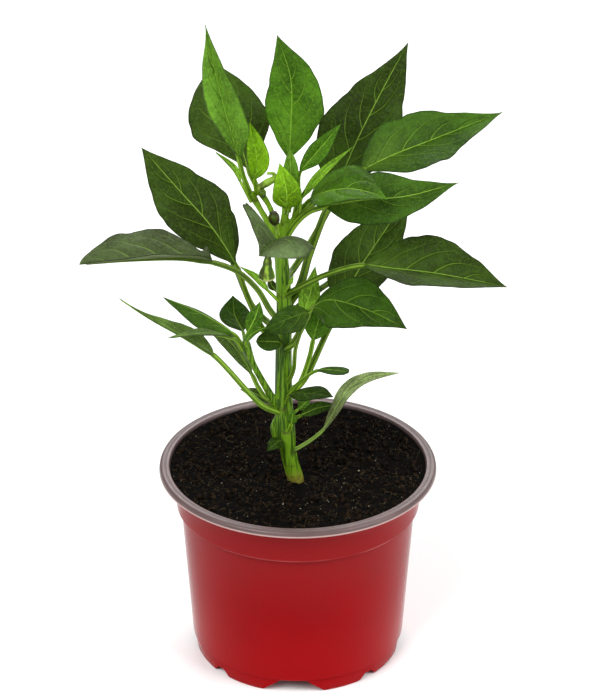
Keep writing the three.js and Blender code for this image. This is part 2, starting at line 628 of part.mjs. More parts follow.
function pot() {
  let body = solid(latheAboutZ(potProfile(), POT_SEGMENTS));
  for (let i = 0; i < NOTCH_PAIRS; i += 1) {
    const turn = THREE.MathUtils.degToRad(NOTCH_TURN + (360 * i) / NOTCH_PAIRS);
    const between = turn + Math.PI / NOTCH_PAIRS;
    body = body.subtract(solid(notch(WIDE_NOTCH).rotateZ(turn)));
    body = body.subtract(solid(notch(NARROW_NOTCH).rotateZ(between)));
    body = body.subtract(solid(drain().rotateZ(turn)));
    body = body.subtract(solid(drain().rotateZ(between)));
  }
  return piece('pot', geometryOf(body), 0x9c1420, 0.35);
}

// The unevenness of the soil's surface, in millimetres, at a place.
function soilLump(x, y) {
  const coarse = Math.sin(x * 0.19 + 1.3) * Math.cos(y * 0.23 - 0.4);
  const fine = Math.sin(x * 0.47 - y * 0.31) * 0.5;
  return SOIL_LUMP * (coarse + fine);
}

function soil(hole) {
  const slack = GAP + 0.05;
  const [flareRadius, flareHeight] = [COLLAR_RADIUS + 1.2 - POT_WALL, COLLAR_FLARE + 4.5];
  const rise = (SOIL_EDGE - flareHeight) / (POT_HEIGHT - 0.3 - flareHeight);
  const edge = flareRadius + (RIM_FLAT_INNER - 0.6 - flareRadius) * rise - slack;
  const profile = [
    [0, FLOOR_TOP + GAP],
    [FOOT_RADIUS - POT_WALL - GAP, FLOOR_TOP + GAP],
    [BODY_BOTTOM_RADIUS - POT_WALL - GAP, BODY_BOTTOM + POT_WALL + GAP],
    [BODY_TOP_RADIUS - POT_WALL - GAP, COLLAR_BOTTOM - 0.3 + POT_WALL + GAP],
    [COLLAR_RADIUS - 0.2 - POT_WALL - GAP, COLLAR_BOTTOM + 0.5 + POT_WALL + GAP],
    [COLLAR_RADIUS + 0.1 - POT_WALL - GAP, COLLAR_FLARE],
    [flareRadius - slack, flareHeight],
  ];
  for (let i = 0; i < SOIL_RINGS; i += 1) {
    const share = 1 - i / SOIL_RINGS;
    profile.push([edge * share, SOIL_CENTRE + (SOIL_EDGE - SOIL_CENTRE) * share ** 3]);
  }
  profile.push([0, SOIL_CENTRE]);
  const geometry = weld(latheAboutZ(profile, POT_SEGMENTS));
  const place = geometry.attributes.position;
  for (let i = 0; i < place.count; i += 1) {
    if (place.getZ(i) > flareHeight + 0.05) {
      const away = Math.hypot(place.getX(i), place.getY(i)) / edge;
      place.setZ(i, place.getZ(i) + soilLump(place.getX(i), place.getY(i)) * (1 - away ** 6));
    }
  }
  return piece('soil', geometryOf(solid(geometry).subtract(hole)), 0x1f1712, 0.95);
}

function stemBody(grow) {
  let body = solid(limb(STEM, 12, 16, grow));
  for (const twig of TWIGS) {
    body = body.add(solid(limb(twig, 8, 6, grow)));
  }
  return body;
}

// The left or the right value of a pair, or the one value that serves both sides.
function sideOf(value, direction) {
  return Array.isArray(value) ? value[direction < 0 ? 0 : 1] : value;
}

// The half-width at a share of the blade's length, as a share of its widest. base and point are below 1
// for a rounded end and above 1 for a drawn-out one.
function bladeOutline(along, leaf, direction) {
  const widest = sideOf(leaf.widest, direction);
  if (along < widest) {
    const base = sideOf(leaf.base ?? BASE_SHAPE, direction);
    return Math.sin((Math.PI / 2) * (along / widest)) ** base;
  }
  const point = sideOf(leaf.point ?? POINT_SHAPE, direction);
  return Math.max(0, Math.sin((Math.PI / 2) * ((1 - along) / (1 - widest)))) ** point;
}

// The way across one half of a blade: how far out and how far up each column lies.
function acrossHalf(width, lift, curl, columns) {
  const stations = [{ out: 0, up: 0, tilt: 0 }];
  const steps = columns / 2;
  for (let i = 1; i <= steps; i += 1) {
    const tilt = THREE.MathUtils.degToRad(lift + (curl * (i - 0.5)) / steps);
    const last = stations[i - 1];
    const out = last.out + (Math.cos(tilt) * width) / steps;
    const up = last.up + (Math.sin(tilt) * width) / steps;
    stations.push({ out, up, tilt });
  }
  return stations;
}

function leafRings(leaf) {
  const points = leaf.stalk.concat(leaf.midrib);
  const spine = new THREE.CatmullRomCurve3(points.map(vector), false, 'centripetal');
  const samples = 200;
  const lengths = spine.getLengths(samples);
  const baseShare = (leaf.stalk.length - 1) / (points.length - 1);
  const bladeStart = lengths[Math.round(samples * baseShare)] / lengths[samples];
  const stalkRows = leaf.stalkRows ?? 3;
  const places = [];
  for (let i = 0; i < stalkRows; i += 1) {
    places.push({ at: (bladeStart * i) / stalkRows, along: 0, root: 1 - i / stalkRows });
  }
  for (let i = 0; i <= leaf.rows; i += 1) {
    const along = (i / leaf.rows) ** ROW_SPACING;
    places.push({ at: bladeStart + (1 - bladeStart) * along, along, root: 0 });
  }
  const [faceBase, faceTip] = leaf.faces.map(vector);
  const length = lengths[samples] * (1 - bladeStart);
  return places.map(({ at, along, root }) => {
    const ahead = spine.getTangentAt(at);
    const facing = faceBase.clone().lerp(faceTip, along);
    const side = new THREE.Vector3().crossVectors(ahead, facing).normalize();
    const up = new THREE.Vector3().crossVectors(side, ahead).normalize();
    const centre = spine.getPointAt(at);
    const blend = THREE.MathUtils.smoothstep(along, 0, STALK_BLEND);
    const radius = leaf.radius * (1 + (ROOT_SWELLING - 1) * root * root);
    const rib = THREE.MathUtils.lerp(leaf.radius, RIB_TIP_RADIUS, along ** 0.6);
    const half = BLADE_THICKNESS / 2;
    const mix = (stalk, blade) => THREE.MathUtils.lerp(stalk, blade, blend);
    const upper = [];
    const under = [];
    for (const direction of [-1, 1]) {
      const chosen = direction < 0 ? 0 : 1;
      const outline = bladeOutline(along, leaf, direction);
      const width = leaf.half[chosen] * outline;
      const ripple = leaf.wave * outline * Math.sin((2 * Math.PI * length * along) / WAVE_LENGTH + leaf.name.length);
      const stations = acrossHalf(width, leaf.lift[chosen], sideOf(leaf.curl ?? 0, direction), BLADE_COLUMNS);
      const edge = stations.length - 1;
      stations.forEach((station, i) => {
        if (i === 0 && direction > 0) {
          return;
        }
        const share = i / edge;
        const stalkOut = [0, 0.588, 0.951][i] * radius;
        const stalkHalf = [1, 0.809, 0.309][i] * radius;
        const out = direction * mix(stalkOut, Math.max(station.out, stalkOut * 0.5));
        const rise = mix(0, station.up + ripple * share * share * direction);
        const tilt = mix(0, station.tilt) * direction;
        const normal = up.clone().multiplyScalar(Math.cos(tilt)).addScaledVector(side, -Math.sin(tilt));
        const middle = centre.clone().addScaledVector(side, out).addScaledVector(up, rise);
        const above = mix(stalkHalf, half);
        const below = mix(stalkHalf, i === 0 ? Math.max(rib, half) : half);
        upper.push({ column: direction * i, point: middle.clone().addScaledVector(normal, above) });
        under.push({ column: direction * i, point: middle.clone().addScaledVector(normal, -below) });
      });
    }
    const byColumn = (a, b) => a.column - b.column;
    return {
      upper: upper.sort(byColumn).map((entry) => entry.point),
      under: under.sort(byColumn).map((entry) => entry.point),
    };
  });
}

// Both faces of a leaf are split into triangles alike, so that a waved blade never crosses itself.
function leafSkin(leaf) {
  const rings = leafRings(leaf);
  const columns = rings[0].upper.length;
  const positions = [];
  for (const ring of rings) {
    for (const point of ring.upper.concat(ring.under)) {
      positions.push(point.x, point.y, point.z);
    }
  }
  const upper = (i, j) => i * 2 * columns + j;
  const under = (i, j) => upper(i, j) + columns;
  const triangles = [];
  const last = rings.length - 1;
  const edge = columns - 1;
  for (let i = 0; i < last; i += 1) {
    for (let j = 0; j < edge; j += 1) {
      triangles.push(upper(i, j), upper(i, j + 1), upper(i + 1, j + 1));
      triangles.push(upper(i, j), upper(i + 1, j + 1), upper(i + 1, j));
      triangles.push(under(i, j), under(i + 1, j + 1), under(i, j + 1));
      triangles.push(under(i, j), under(i + 1, j), under(i + 1, j + 1));
    }
    triangles.push(upper(i, 0), upper(i + 1, 0), under(i + 1, 0));
    triangles.push(upper(i, 0), under(i + 1, 0), under(i, 0));
    triangles.push(upper(i, edge), under(i + 1, edge), upper(i + 1, edge));
    triangles.push(upper(i, edge), under(i, edge), under(i + 1, edge));
  }
  for (let j = 0; j < edge; j += 1) {
    triangles.push(upper(0, j), under(0, j), under(0, j + 1));
    triangles.push(upper(0, j), under(0, j + 1), upper(0, j + 1));
    triangles.push(upper(last, j), under(last, j + 1), under(last, j));
    triangles.push(upper(last, j), upper(last, j + 1), under(last, j + 1));
  }
  return closedMesh(positions, triangles);
}

function leafPiece(leaf, stemWithGap) {
  const body = largest(solid(leafSkin(leaf)).subtract(stemWithGap));
  return piece(leaf.name, geometryOf(body), GREEN[leaf.colour], 0.5);
}

// A flower bud on its bent stalk.
function budPiece(bud, stemWithGap) {
  const body = largest(solid(limb(bud.line, 8, bud.steps)).subtract(stemWithGap));
  return piece(bud.name, geometryOf(body), GREEN[bud.colour], 0.5);
}

function plant() {
  const group = new THREE.Group();
  const stemWithGap = stemBody(GAP);
  group.add(pot());
  group.add(soil(stemWithGap));
  group.add(piece('stem', geometryOf(stemBody(0)), GREEN.stem, 0.5));
  for (const leaf of LEAVES) {
    group.add(leafPiece(leaf, stemWithGap));
  }
  for (const bud of BUDS) {
    group.add(budPiece(bud, stemWithGap));
  }
  return group;
}

export default plant();
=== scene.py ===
"""The finished looks of a young chilli pepper plant in its nursery pot.

Lengths in the lists below are millimetres; MM turns them into Blender's metres. The pot stands on the floor
at z = 0, on the z axis, and the plant's front faces -Y.
"""

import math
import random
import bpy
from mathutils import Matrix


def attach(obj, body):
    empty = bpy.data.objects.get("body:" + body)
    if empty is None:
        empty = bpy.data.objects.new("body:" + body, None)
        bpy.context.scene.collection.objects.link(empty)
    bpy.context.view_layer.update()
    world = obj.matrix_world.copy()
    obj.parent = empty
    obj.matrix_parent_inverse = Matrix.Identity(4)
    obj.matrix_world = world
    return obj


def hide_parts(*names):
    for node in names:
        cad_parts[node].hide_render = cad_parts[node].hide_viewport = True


bl_info = {
    "name": "Potted chilli pepper plant",
    "version": (1, 0, 0),
    "blender": (4, 5, 0),
    "location": "3D View > Sidebar > Plant",
    "description": "Builds a young chilli pepper plant in a red nursery pot over its packed model",
    "category": "Object",
}

import bpy
import numpy as np
from bpy.props import FloatProperty, FloatVectorProperty, IntProperty, PointerProperty
from mathutils import Vector, noise

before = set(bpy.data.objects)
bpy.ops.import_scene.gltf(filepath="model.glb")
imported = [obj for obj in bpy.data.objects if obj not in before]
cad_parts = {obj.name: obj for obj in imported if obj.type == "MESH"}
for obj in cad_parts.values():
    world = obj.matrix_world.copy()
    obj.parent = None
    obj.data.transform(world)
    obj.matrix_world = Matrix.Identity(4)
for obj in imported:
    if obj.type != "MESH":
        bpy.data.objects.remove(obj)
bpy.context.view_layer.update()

MM = 0.001
X, Y, Z = range(3)

# The camera that took the picture: 1.3 m from the plant's middle, 27 degrees above it
VIEW_DISTANCE = 1.3
VIEW_PITCH = math.radians(27.46)
VIEW_TARGET_HEIGHT = 0.156
VIEW_SIDE = 0.00101
VIEW_LENS = 145.39
SENSOR = 36

# The pot: radius and height of each ring, from the pad in the middle of the floor out, up and back inside
POT_OUTSIDE = [
    (12, 0), (14, 5.6), (40, 5.6), (41.5, 0.5), (41.9, 0), (48.2, 0), (48.8, 0.25), (49.1, 0.9), (49.4, 6.7),
    (49.9, 7.1), (50.4, 7.6), (50.5, 8.2), (52.8, 42), (55.2, 75.7), (55.5, 76.1), (57, 76.6), (57.3, 77),
    (57.5, 82), (57.7, 87), (58.3, 90), (59.4, 93), (60.6, 95.2), (61.4, 95.9), (63.6, 95.9), (63.9, 95.4),
    (64.1, 94.3), (65, 94.3),
]
POT_INSIDE = [
    (65.1, 94.5), (65.05, 95.1), (64.9, 95.9), (64.6, 96.5), (64.2, 96.85), (63.6, 97), (61.2, 97), (60.6, 96.85),
    (60.2, 96.3), (59.95, 95.2), (59.4, 93.6), (58, 91.2), (57, 88.5), (56.6, 86), (56.4, 77.4), (54.4, 76.6),
    (54.1, 76), (51.8, 42), (49.5, 8.5), (48.4, 6.7), (14, 6.7),
]
LIP_BOTTOM = 94.2
LIP_CREST = 96
LIP_INNER = 60.4
CUT_EDGE_TOP = 95.0
CUT_EDGE_RADIUS = 64.5
LIP_GROOVE = 62.2
COLLAR_LINE = 77.3
NOTCHES = 4
NOTCH_TURN = -2.5
WIDE_NOTCH = (30, 11.6, 7)
NARROW_NOTCH = (10.5, 4, 3.5)
NOTCH_REACH = (40, 56.5)
NOTCH_ROUNDING = 0.6
DRAIN_RADIUS = 3.2
DRAIN_CIRCLE = 30
DRAIN_DEPTH = 12
DRAIN_SIDES = 24
POT_SIDES = 192
# How far a face may look up and still show the outside's red
OUTSIDE_SLOPE = 0.6

# The soil: radius and height of its side from the pot's floor up, then its rough top, highest at the edge
SOIL_SIDE = [(0, 7), (47.9, 7), (49, 8.7), (53.8, 76.4), (56.1, 77.8), (56.3, 86.2), (57.2, 90), (58.9, 93)]
SOIL_COLUMNS = 220
SOIL_ROWS = 74
SOIL_TOP_RADIUS = 59.6
SOIL_MIDDLE = 91.7
SOIL_EDGE_RISE = 3.6
SOIL_LUMPS = [(1.0, 0.055, 3.1), (1.3, 0.16, 7.7), (0.8, 0.42, 1.9)]
CRUMB_CIRCLE = 59
CRUMB_REACH = 59.8
CRUMB_TOP = 97.4
STEM_FOOT = (-1.5, -8.5)
STEM_FOOT_CLEAR = 4.8

# How the crumbs and fibres vary: shares of their size, millimetres, and the fibres' tilt in radians
SIZE_SPREAD = (0.5, 1)
CRUMB_STRETCH = (0.7, 1.3)
CRUMB_ROUGHNESS = 0.25
CRUMB_LIFT = (-0.1, 0.3)
FIBRE_THICKNESS = (0.1, 0.26)
FIBRE_BEND = (-0.25, 0.25)
FIBRE_TILT = (1.15, 1.5)
FIBRE_LIFT = (0.1, 0.7)

# The stem and its twigs: x, y, z and radius along each
STEM = [
    (0.5, -9.5, 61, 3.4), (-0.8, -8.5, 91, 3.9), (-3.2, -8.2, 101, 3.7), (-4.6, -7.7, 109, 3.8),
    (-5.5, -7, 117, 4.6), (-6.4, -6, 133, 4.1), (-6.4, -4.5, 158, 3.8), (-6.2, -3, 183, 3.5),
    (-7.6, -1.5, 207, 3.1), (-8.6, -1, 216, 2.8),
]
TWIGS = [
    [(-8.4, -1.2, 211, 2.2), (-12, -2, 219, 1.6), (-16.6, -2.5, 228, 1.3), (-21, -3, 236.5, 1.9)],
    [(-8.4, -1, 212, 2), (-9.9, -0.4, 220, 1.4), (-12.9, 0, 229, 1.2), (-18, 0, 237.5, 1.7)],
    [(-8.4, -1.2, 211, 2.4), (-6.6, -1.6, 219, 1.9), (-5.2, -2, 228, 1.7)],
    [(-8.4, -1.2, 210, 2.3), (-4.3, -2.4, 218, 1.7), (-1, -3.4, 225, 1.5), (2, -4, 231, 1.7)],
    [(-7, -6, 125, 2), (-10, -8, 132, 1.9), (-16, -10.5, 145, 1.6), (-20.5, -13, 156, 1.5), (-24, -14, 166.6, 2.6)],
    [(-7.5, -7, 129, 1.2), (-11, -8, 119.5, 1.9), (-9.5, -8.5, 113.5, 1.5), (-6, -8.2, 108, 0.9)],
]

STEM_SIDES = 32
TWIG_SIDES = 20
TWIG_STEP = 0.8
STEM_RIDGES = 0.03
STEM_GRAIN = 0.5

# Heights of the scars where leaves part from the stem
STEM_NODES = [101.3, 108, 119, 131, 141, 161, 174, 187, 209, 222, 234]

# The flower buds: x, y, z and radius along the stalk and the bud
BUDS = {
    "bud_hanging": [
        (-8, -2, 207, 0.9), (-11.6, -12, 213, 0.9), (-13.2, -18, 212, 1.4), (-13.4, -18.4, 210, 2),
        (-13.6, -18.4, 207.6, 2.2), (-13.8, -18.2, 204.6, 3.4), (-13.8, -18, 202, 3.8), (-13.8, -18, 200.8, 2.7),
    ],
    "bud_round": [
        (-8.4, -1.2, 214, 0.8), (-9.2, -7, 219.6, 0.9), (-9.6, -9.4, 223.6, 1), (-10.2, -10, 225.8, 2.4),
        (-10.6, -10.2, 228.2, 2.6), (-10.8, -10.2, 230.6, 1.4),
    ],
    "bud_small": [
        (-15.6, -0.4, 233.5, 0.9), (-15, -5.6, 238, 1), (-16.8, -8.8, 241.6, 1.4), (-13.6, -9.6, 244.4, 1.8),
        (-10.4, -9.8, 246.6, 1.4), (-10.6, -10.4, 249, 0.8), (-13.6, -11.2, 249.6, 0.6),
    ],
}

BUD_SIDES = 24
BUD_STEP = 0.45
BUD_RIDGES = 0.035

# What the leaves have in common: lengths are millimetres, and the rest are shares and powers
BASE_SHAPE = 0.9
POINT_SHAPE = 1.15
RIB_TIP_RADIUS = 0.28
WAVE_LENGTH = 26
ROOT_SWELLING = 1.25
BLADE_ARCH = 0.05
VEIN_LEAN = 0.2
VEIN_CURVE = 0.3
VEIN_SPACING = 13
VEIN_SHIFT = 0.47
BLADE_THICKNESS = 0.42
PUCKER_SHARE = 0.016
PUCKER_MOST = 0.2
RIB_START = 0.9
RIB_END = 0.95
RIB_TAPER = 0.55
STALK_STEP = 1.5
STALK_SIDES = 16
STALK_GROOVE = 0.3
EDGE_WAVES = ((21, 0.03), (12, 0.015), (6.5, 0.007))

# The blade's grid: rows about this long and fewer near the tip, and columns for small and for wide blades
ROW_LENGTH = 1.2
ROW_LIMITS = (20, 64)
ROW_SPACING = 1.15
SMALL_COLUMNS = 12
WIDE_COLUMNS = 24
WIDE_HALF = 6

LEAF_SIDES = ("upper", "under", "stalk")

# The colours of leaf that go with each of the solids' material slots
LEAF_SLOTS = {
    "leaf_dark": ("dark", "dusk", "deep", "shade"),
    "leaf_middle": ("middle", "green", "sage"),
    "leaf_bright": ("fresh", "light", "young", "lime"),
    "leaf_pale": ("grey", "dusty", "pale"),
}
# How much of the veins' colour the midribs take, where it isn't the usual share
MIDRIB_SHARE = {"shade": 0.25, "deep": 0.6}
USUAL_MIDRIB_SHARE = 0.85

# Colours that go over others, in linear light
# A painted highlight: the light line laid along the collar's lower edge
COLLAR_HIGHLIGHT = (0.5, 0.17, 0.17)
SCAR_BROWN = (0.05, 0.045, 0.01)
BUD_SPOTS = (0.025, 0.018, 0.006)

FLOOR_SIZE = 12
FLOOR_HEIGHT = -0.0001

# The light panels, in metres: place, width and height. All of them face the plant's middle.
PANELS = {
    "key": ((-0.9, -1.0, 1.5), 1.2, 1.2),
    "fill": ((1.2, -0.7, 1.1), 1.0, 1.2),
    "back": ((0.2, 1.3, 1.2), 1.4, 0.8),
}
PANEL_AIM = (0, 0, 0.16)


def plan(name, colour, radius, stalk, midrib, face, half, lift, widest, wave=0, **shape):
    """The plan of one leaf. A pair is for the left and the right of the midrib, seen from above, tip ahead.

    stalk is the way from inside the stem to the blade, and midrib goes on from there to the tip. face is where
    the upper side looks, or two such directions, at the blade's base and tip. half is the half-width, and widest
    the share of the length where the blade reaches it. lift is how far each half rises, in degrees, and curl how
    much more it turns towards its edge. base and point are below 1 for a full end and above 1 for a drawn-out
    one. bumps are side, place, spread and size.
    """
    return {"name": f"leaf_{name}", "colour": colour, "radius": radius, "stalk": stalk, "midrib": midrib,
            "faces": face if isinstance(face, list) else [face, face], "half": half, "lift": lift,
            "widest": widest, "wave": wave, **shape}


LEAVES = [
    # The crown
    plan("tall_left", "light", 1.1, [(-21, -3, 235.5), (-24, -5, 245), (-26, -6, 254)],
         [(-30, -9, 271), (-35, -10, 293), (-40, -5, 317)], [(0.35, -0.94, 0.1), (-0.35, -0.94, 0.1)], half=(8, 10.5),
         lift=(30, 38), widest=(0.5, 0.36), wave=0.4, base=(1.2, 0.9), point=(1.5, 1.15)),
    plan("tall_middle", "fresh", 1.2, [(-5.4, -1, 227), (-5, 1, 239), (-4, 2, 251)],
         [(-3, 5, 266), (-3, 6, 287), (-9, 1, 310)], [(0, -0.97, 0.2), (-0.1, -0.97, 0.2)], half=(12, 15),
         lift=(15, 20), widest=0.42, wave=0.5),
    plan("broad_back", "dark", 1.2, [(-17.6, 0.8, 236.6), (-20, 8, 238), (-22, 13, 240)],
         [(-27, 20, 255), (-32, 26, 269), (-38, 30, 286)], [(-0.1, -0.9, 0.4), (-0.1, -0.9, 0.3)], half=(20, 16.5),
         lift=10, widest=(0.52, 0.42), wave=0.8, base=(1.4, 1.2), point=(1, 1)),
    plan("upper_right", "dusk", 1.7, [(-5, -1.5, 179), (1, 2, 188), (5, 8, 200), (14, 20, 220), (17, 22, 225)],
         [(25, 30, 243), (36, 38, 264), (50, 42, 291)], [(-0.3, -0.9, 0.4), (-0.3, -0.9, 0.2)], half=(18.5, 17),
         lift=(12, 8), widest=(0.3, 0.38), wave=0.7, point=(1.45, 1.15)),
    plan("far_right", "middle", 1.4, [(0, -3, 226.5), (14, 3, 234), (29, 9, 242)],
         [(41, 15, 246), (64, 26, 251), (93, 34, 260)], (0.1, -0.5, 0.85), half=(15.5, 17.5), lift=22,
         widest=(0.34, 0.36), wave=0.7, base=(0.7, 0.9), point=(1.4, 1.15)),
    plan("right", "middle", 1.3, [(-6, -2, 213), (0, -6, 224), (5, -7, 229), (12, -8, 232)],
         [(28, -10, 236), (48, -10, 238), (72, -6, 243)], (0, -0.75, 0.65), half=(12, 13), lift=12, widest=0.33,
         wave=0.6, point=(1.5, 1.3)),
    plan("folded_front", "green", 1.1, [(2.4, -4.4, 230.4), (5.4, -8.5, 235.5)],
         [(10, -12, 240), (21, -20, 246), (31, -28, 248), (39, -33, 247)], (0.1, -0.5, 0.85), half=12.5, lift=12,
         widest=0.42, wave=0.3),
    plan("young_right", "fresh", 0.8, [(-1.8, -3, 224.5), (0.4, -6.4, 239), (1, -7, 248)],
         [(8, -8, 258), (19, -8, 272)], [(0.2, -0.9, 0.4), (0.1, -0.9, 0.4)], half=4.6, lift=25, widest=0.45,
         wave=0.2),
    plan("slim_right", "lime", 0.8, [(0.6, -4.8, 227.6), (1.6, -11, 237)], [(8, -16, 250), (24, -22, 267)],
         [(0.6, -0.7, 0.3), (0.2, -0.9, 0.4)], half=2.6, lift=30, widest=0.3, wave=0.1),
    plan("young_left", "young", 0.9, [(-18.4, -1.6, 235), (-19, -5, 244)], [(-18, -8, 255), (-21, -8, 273)],
         [(0.05, -0.95, 0.3), (0, -0.95, 0.3)], half=(4.8, 6.2), lift=25, widest=0.42, wave=0.2),
    plan("crown_front", "young", 0.9, [(-5.4, -2, 226), (-5, -12, 233)], [(-5, -16, 244), (-8, -12, 255)],
         [(0, -0.85, 0.5), (0, -0.95, 0.2)], half=6.6, lift=15, widest=0.4, wave=0.2),
    plan("crown_back", "light", 0.7, [(-3.9, -2.6, 227), (-2.4, -5.8, 236), (-3.2, -7.6, 240)],
         [(-3.2, -8, 249), (-3.6, -8, 261)], (0.2, -0.95, 0.2), half=3.8, lift=20, widest=0.4, wave=0.1),
    plan("needle_left", "lime", 0.7, [(-20.8, -4.6, 233), (-25, -9, 244)], [(-28, -12, 252), (-36, -18, 263)],
         (0.3, -0.6, 0.7), half=1.7, lift=20, widest=0.35),
    plan("drooping_front", "grey", 1.2, [(-8, -2, 213), (-9, -12, 217)], [(-13, -30, 223), (-17, -42, 224)],
         (0.1, 0, 1), half=(20, 21.2), lift=(42, 44), widest=(0.45, 0.34), wave=0.3, base=(0.5, 0.55),
         point=(0.4, 1.8), curl=(-74, 0),
         bumps=[(-1, 0.86, 0.13, 0.36), (-1, 0.67, 0.12, 0.15), (1, 0.15, 0.06, 0.1), (1, 0.27, 0.05, 0.06),
                (1, 0.47, 0.07, 0.1), (1, 0.6, 0.08, -0.1), (1, 0.8, 0.1, -0.35)]),
    # The middle, left
    plan("middle_left_back", "dark", 1.3,
         [(-7, -3.5, 159), (-15, 2, 164), (-21, 4, 176), (-25, 5, 187), (-27.5, 6, 195)],
         [(-39, 11, 213), (-54, 19, 228), (-71, 26, 246)], [(0.2, -0.8, 0.55), (0.1, -0.8, 0.55)], half=(16.5, 14),
         lift=12, widest=(0.5, 0.42), wave=0.8, base=(1.2, 1.5),
         bumps=[(1, 0.2, 0.12, -0.2), (1, 0.42, 0.06, 0.06), (-1, 0.62, 0.08, -0.06)]),
    plan("middle_left_front", "dusty", 1.4,
         [(-6.3, -4, 171), (-12, -8, 180), (-18, -10, 192), (-27, -12, 202), (-38, -15, 208)],
         [(-50, -19, 212), (-72, -27, 215), (-96, -34, 216)], (0, 0, 1), half=16, lift=30, widest=(0.42, 0.46),
         wave=0.5, point=(1, 0.7), bumps=[(1, 0.03, 0.026, 2.6), (1, 0.11, 0.03, -0.12)]),
    plan("sliver_left", "lime", 0.8, [(-6.2, -3.2, 180), (-13, -6, 189)], [(-19, -8, 197), (-26, -9, 203)],
         (0.4, -0.6, 0.7), half=2, lift=15, widest=0.4),
    plan("node_left", "dark", 0.7, [(-6.2, -2.8, 187), (-10, 3, 185)], [(-12, 5, 187), (-13, 7, 190)], (0, -0.7, 0.7),
         half=2, lift=10, widest=0.4),
    # The middle, right
    plan("middle_right_back", "dark", 1.4, [(-6, -5.2, 137), (1, 0, 138), (13, 6, 161), (20, 9, 176)],
         [(29, 14, 192), (41, 24, 207), (52, 32, 222)], (-0.1, -0.85, 0.5), half=(14.2, 14), lift=10,
         widest=(0.3, 0.35), wave=0.8, base=(0.5, 0.9), point=(1.25, 1.15)),
    plan("middle_right", "dusk", 1.3, [(-6.2, -3.2, 185), (-1, -8, 191), (13, -9, 199), (29, -10, 204)],
         [(41, -13, 204), (63, -19, 204), (93, -26, 201)], (0, -0.35, 0.93), half=(17.5, 16.5), lift=25, widest=0.42,
         wave=0.6),
    plan("hanging_right", "deep", 1.4, [(-6.4, -4.6, 158), (-2, -12, 166), (2, -14, 175), (6, -14, 184)],
         [(13, -15, 189), (29, -19, 187), (49, -28, 181)], (0.1, -0.62, 0.78), half=(13.4, 15), lift=10,
         widest=(0.42, 0.26), wave=0.6, base=(2.2, 0.4), point=(1.15, 1.3)),
    plan("across_stem", "shade", 0.9,
         [(-5.6, -6.2, 140), (-2, -12, 152), (-1, -16, 165), (2, -19, 177), (5, -20, 185)],
         [(-4.4, -22.5, 183.4), (-16, -22, 177)], (0, -0.7, 0.7), half=(8, 5.5), lift=8, widest=0.35, wave=0.4),
    plan("stem_low", "deep", 0.8, [(-7.4, -4.4, 160.5), (-8, -10, 165)], [(-13.6, -11.6, 166.4), (-19, -12, 166.6)],
         (0, -0.75, 0.66), half=(4.8, 4.4), lift=10, widest=0.5, wave=0.2, base=0.5, point=0.6),
    plan("small_bright", "lime", 0.8, [(-6.2, -3.4, 173), (1, -6, 177)], [(5, -3, 184), (8, 0, 199)], (0, -0.9, 0.4),
         half=4.8, lift=15, widest=0.35, wave=0.1),
    plan("small_dark", "dark", 0.7, [(-5.6, -3.4, 174), (2, -1, 178.5)], [(6, 5, 182), (12, 10, 183)], (0, -0.8, 0.6),
         half=3, lift=15, widest=0.4),
    plan("needle_right", "lime", 0.6, [(-6.3, -2.9, 186), (-4, -12, 195)], [(-3, -14, 198), (-2, -16, 202)],
         (0, -0.8, 0.6), half=1, lift=15, widest=0.4),
    plan("shaded_right", "fresh", 1.1, [(-6, -6.4, 132.5), (0.5, -7, 141.5), (5.5, -4, 155), (7, -2, 162)],
         [(9, 2, 168), (12, 8, 178)], (0, -0.8, 0.6), half=6.5, lift=15, widest=0.35, wave=0.3),
    # The left side shoot
    plan("long_low_left", "sage", 1.3, [(-6, -7, 126), (-16, -13, 134), (-22, -16, 142), (-38, -24, 166)],
         [(-50, -31, 178.5), (-65, -39, 192), (-79, -46, 206)], (0.1, -0.3, 0.95), half=(6.5, 6), lift=25,
         widest=0.22, wave=0.3, base=(0.6, 0.6), point=(2.8, 2.8)),
    plan("shoot_upper", "middle", 0.9, [(-25.4, -13.4, 166), (-28.5, -15.5, 172)], [(-42, -20, 184), (-60, -26, 196)],
         (-0.2, -0.3, 0.93), half=6.9, lift=-30, widest=0.45, wave=0.2, point=(1.1, 1.7)),
    plan("shoot_front", "sage", 0.9, [(-25.2, -14.4, 163.5), (-29, -21.5, 173)], [(-41, -34, 182), (-57, -46, 186)],
         (0, 0, 1), half=4, lift=10, widest=0.5, wave=0.2),
    plan("shoot_back", "deep", 0.8, [(-24, -13, 165.5), (-25, -4, 167.5)], [(-29, 6, 171), (-30, 14, 177)],
         (0, -0.5, 0.85), half=7, lift=10, widest=0.5, wave=0.2),
    plan("shoot_young", "fresh", 0.8, [(-23, -13.6, 166.5), (-22.6, -16, 173)], [(-19, -15, 181), (-17, -12, 187)],
         (0, -0.9, 0.4), half=4, lift=15, widest=0.45, wave=0.1),
    plan("shoot_slim", "fresh", 0.7, [(-22.6, -15, 164.5), (-23.4, -20.5, 170.5)], [(-20, -24, 177), (-14, -26, 181)],
         (0, -0.7, 0.7), half=1.7, lift=15, widest=0.4),
    plan("low_left_back", "sage", 1.1, [(-6.2, -5.4, 135), (-14, -3.6, 132.6), (-18.5, -2, 138), (-21, -0.2, 143)],
         [(-31, 7, 156), (-43, 14, 161)], (0, -0.6, 0.8), half=4.4, lift=15, widest=0.5, wave=0.2),
    # The low part
    plan("blunt_right", "middle", 0.9, [(-6.2, -6, 134), (1, -14, 147), (9, -18, 155)],
         [(16, -22, 157), (23, -26, 158)], (0, 0, 1), half=4, lift=0, widest=0.6, base=0.6, point=0.35),
    plan("oval_low", "shade", 0.9, [(-6, -7, 130), (-4, -14, 140)], [(6, -24, 146), (16, -36, 151)], (0, -0.3, 0.95),
         half=(5.4, 6.4), lift=5, widest=0.5, wave=0.2),
